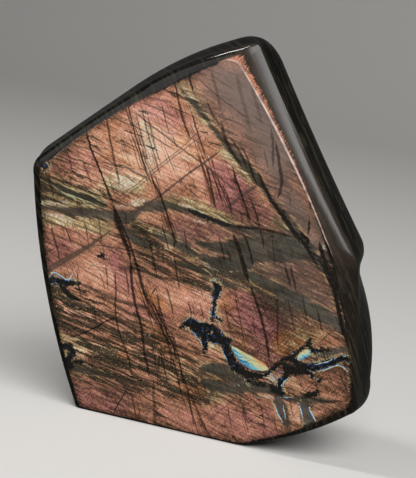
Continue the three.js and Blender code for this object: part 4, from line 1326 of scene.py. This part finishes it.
blue = paint.field("blue")
vein_edge = paint.calc("SUBTRACT", paint.field("vein"), 0.35)
vein_edge = paint.sway(paint.sway(paint.sway(vein_edge, grit, 6.5), grain, 4.5), needle_lane, 2.0)
blue_share = paint.step(paint.sway(blue, drift_noise, 1.2), 0.2, 0.7)
glow = paint.noise(bent_ground, 0.42, 3, 0.65)
vein_tone = paint.ramp(glow, (0.0, shade(9, 10, 7)), (0.52, shade(13, 14, 11)), (0.57, shade(44, 44, 38)),
                       (0.62, shade(16, 28, 66)), (0.68, shade(40, 86, 176)), (0.76, shade(120, 196, 214)))
black_tone = paint.mix(paint.step(grit, 0.48, 0.6), shade(11, 11, 8), shade(44, 42, 34))
vein_tone = paint.mix(blue_share, black_tone, vein_tone)
halo = paint.calc(
    "MULTIPLY", paint.step(vein_edge, 2.0, 0.5),
    paint.calc("MULTIPLY", blue_share, paint.step(steep_lane, 0.42, 0.62)))
flash = paint.mix(paint.calc("MULTIPLY", halo, 0.8), flash, shade(206, 196, 150))
vein_mask = paint.step(vein_edge, 0.30, -0.40)
flash = paint.mix(vein_mask, flash, vein_tone)
for name in rim_layers:
    mask, across = paint.use(
        line_group, Layer=paint.field(name, "Vector"), Sway=paint.calc("MULTIPLY", wobble, 2.0),
        Bead=paint.calc("MULTIPLY", pinch, 4.2), Crisp=2.0)
    rim_tone = paint.ramp(
        across, (0.0, shade(150, 106, 62)), (0.25, shade(214, 186, 128)), (0.45, shade(206, 230, 220)),
        (0.62, shade(96, 172, 216)), (0.8, shade(34, 84, 176)), (1.0, shade(12, 24, 52)))
    flash = paint.mix(mask, flash, rim_tone)
flash = paint.mix(draw(needle_layers, 0.5, 0.5, 2.0), flash, shade(20, 30, 38))

# %% [markdown]
# Off the show face the layers are cut across, and the same stone looks olive black with paler streaks. The
# two halves meet along the edge of the flash. The ground facet is satin grey, and the sawn base keeps its
# matt finish.

# %% Stone material: body, base and shader
body_lane = lane(WALL_WAY, 70, 2.6, 10, 4)
body = paint.ramp(body_lane, (0.35, shade(4, 4, 2)), (0.5, shade(13, 12, 8)), (0.60, shade(40, 37, 26)),
                  (0.8, shade(62, 57, 42)))
satin = paint.field("satin")
satin_tone = paint.ramp(paint.sway(paint.sway(0.5, body_lane, 0.8), grit, 0.3), (0.2, shade(42, 34, 28)),
                        (0.5, shade(62, 52, 44)), (0.8, shade(88, 77, 67)))
body = paint.mix(paint.calc("MULTIPLY", satin, 0.85), body, satin_tone)
ragged = paint.calc("MULTIPLY_ADD", satin, 4.0, 1.6)
flash_edge = paint.sway(paint.sway(paint.field("flash"), twin_lane, ragged), grit, ragged)
surface = paint.mix(paint.step(flash_edge, -0.8, 1.0), body, flash)
spill_edge = paint.calc(
    "MULTIPLY", paint.step(flash_edge, -1.6, 0.6), paint.step(paint.field("edge"), -0.6, 0.6))
patches = paint.noise(plain_ground, 0.16, 3, 0.6)
spill_glow = paint.step(paint.sway(paint.sway(patches, grit, 0.8), twin_lane, 0.6), 0.38, 0.62, 0.15, 0.95)
spill_mask = paint.calc("MULTIPLY", paint.calc("MULTIPLY", spill_edge, satin), spill_glow)
spill_tone = paint.mix(paint.step(grit, 0.4, 0.6), shade(204, 122, 90), shade(244, 168, 132))
surface = paint.mix(spill_mask, surface, spill_tone)
# A painted highlight: a pale line along the ridge of the ground facet, standing in for a lamp's reflection.
painted_ridge_highlight = paint.calc(
    "MULTIPLY", paint.step(paint.field("ridge"), 0.70, 0.92), paint.step(patches, 0.35, 0.6, 0.30, 0.90))
surface = paint.mix(painted_ridge_highlight, surface, shade(226, 196, 184))

height_mm = paint.add("SeparateXYZ", where_mm.outputs[0]).outputs["Z"]
sawn = paint.step(height_mm, 0.35, 0.1)
surface = paint.mix(paint.calc("MULTIPLY", sawn, 0.8), surface, shade(92, 90, 84))
open_mask = paint.calc("MAXIMUM", vein_mask, paint.calc("MULTIPLY", dark_mask, 0.5))
roughness = paint.calc("MULTIPLY_ADD", open_mask, 0.25, 0.12)
roughness = paint.calc("MAXIMUM", roughness, paint.calc("MULTIPLY", satin, 0.26))
roughness = paint.calc("MAXIMUM", roughness, paint.calc("MULTIPLY", sawn, 0.75))
swell = paint.noise(plain_ground, 0.045, 2, 0.4)
height = paint.calc(
    "MULTIPLY_ADD", paint.step(paint.field("vein"), 0.8, -0.8), -0.5, paint.calc("MULTIPLY", swell, 1.2))
BUMP_STRENGTH, BUMP_HEIGHT = 0.25, 0.0003
bump = paint.add("Bump", BUMP_STRENGTH, BUMP_HEIGHT, None, height)

REFRACTIVE_INDEX = 1.56
shader = paint.add("BsdfPrincipled")
paint.feed(shader.inputs["Base Color"], surface)
paint.feed(shader.inputs["Roughness"], roughness)
shader.inputs["IOR"].default_value = REFRACTIVE_INDEX
paint.feed(shader.inputs["Normal"], bump.outputs[0])
paint.feed(paint.add("OutputMaterial").inputs["Surface"], shader.outputs[0])
print(len(material.node_tree.nodes), "nodes in the stone's material")

# %% [markdown]
# The finished stone rides on the one body of the model and stands for its one solid.

# %% The piece
SHARP_ANGLE = 28
mesh.polygons.foreach_set("use_smooth", [True] * len(mesh.polygons))
mesh.set_sharp_from_angle(angle=math.radians(SHARP_ANGLE))
mesh.materials.append(material)
stone = bpy.data.objects.new("polished_stone", mesh)
bpy.context.scene.collection.objects.link(stone)
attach(stone, "root")
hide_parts(STONE)

# %% [markdown]
# A plain pale floor runs back and curves up into a wall, so that no horizon cuts the picture. The polish
# does not mirror it, as when a polarising filter takes the floor's reflection away: the dark walls would
# look grey with it.

# %% Floor
FLOOR_WIDTH, FLOOR_FRONT, FLOOR_BACK, SWEEP_RADIUS, WALL_HEIGHT = 6.0, -3.0, 1.6, 1.2, 2.0
SWEEP_STEPS = 12
FLOOR_ROUGHNESS = 0.8
profile = [(FLOOR_FRONT, 0.0), (FLOOR_BACK, 0.0)]
for k in range(1, SWEEP_STEPS + 1):
    angle = k / SWEEP_STEPS * math.pi / 2
    profile.append((FLOOR_BACK + SWEEP_RADIUS * math.sin(angle), SWEEP_RADIUS * (1 - math.cos(angle))))
profile.append((FLOOR_BACK + SWEEP_RADIUS, SWEEP_RADIUS + WALL_HEIGHT))
floor_mesh = bpy.data.meshes.new("floor")
floor_mesh.from_pydata(
    [(side * FLOOR_WIDTH / 2, y, z) for y, z in profile for side in (-1, 1)], [],
    [(2 * k, 2 * k + 1, 2 * k + 3, 2 * k + 2) for k in range(len(profile) - 1)])
floor_mesh.polygons.foreach_set("use_smooth", [True] * len(floor_mesh.polygons))
floor_material = bpy.data.materials.new("pale floor")
floor_material.use_nodes = True
floor_shader = floor_material.node_tree.nodes["Principled BSDF"]
floor_shader.inputs["Base Color"].default_value = shade(236, 234, 230)
floor_shader.inputs["Roughness"].default_value = FLOOR_ROUGHNESS
floor_mesh.materials.append(floor_material)
floor = bpy.data.objects.new("floor", floor_mesh)
bpy.context.scene.collection.objects.link(floor)
floor.visible_glossy = False

# %% [markdown]
# Soft boxes: a key high on the right, a weak and wide fill on the left, and a strip overhead that draws the
# thin line along the top edge. The ground facet mirrors only the lower part of the key, so it darkens
# downwards. The world adds a little even light.

# %% Lights


def soft_box(name, place, aim, size, power):
    """An area light of a width and height in metres, turned to a point."""
    data = bpy.data.lights.new(name, "AREA")
    data.shape = "RECTANGLE"
    data.size, data.size_y = size
    data.energy = power
    light = bpy.data.objects.new(name, data)
    light.location = place
    light.rotation_euler = (Vector(place) - Vector(aim)).to_track_quat("Z", "Y").to_euler()
    bpy.context.scene.collection.objects.link(light)


MIDDLE = (0.0, -0.03, 0.14)
soft_box("key", (0.97, -1.03, 1.58), MIDDLE, (2.2, 1.4), 38)
soft_box("fill", (-1.6, -1.9, 0.9), MIDDLE, (2.4, 1.6), 8)
soft_box("strip", (-0.66, -0.18, 1.34), MIDDLE, (0.14, 0.40), 5)

WORLD_STRENGTH = 0.06
world = bpy.data.worlds.new("studio")
world.use_nodes = True
world.node_tree.nodes["Background"].inputs["Color"].default_value = (1.0, 1.0, 1.0, 1.0)
world.node_tree.nodes["Background"].inputs["Strength"].default_value = WORLD_STRENGTH
bpy.context.scene.world = world
bpy.context.scene.view_settings.view_transform = "Standard"
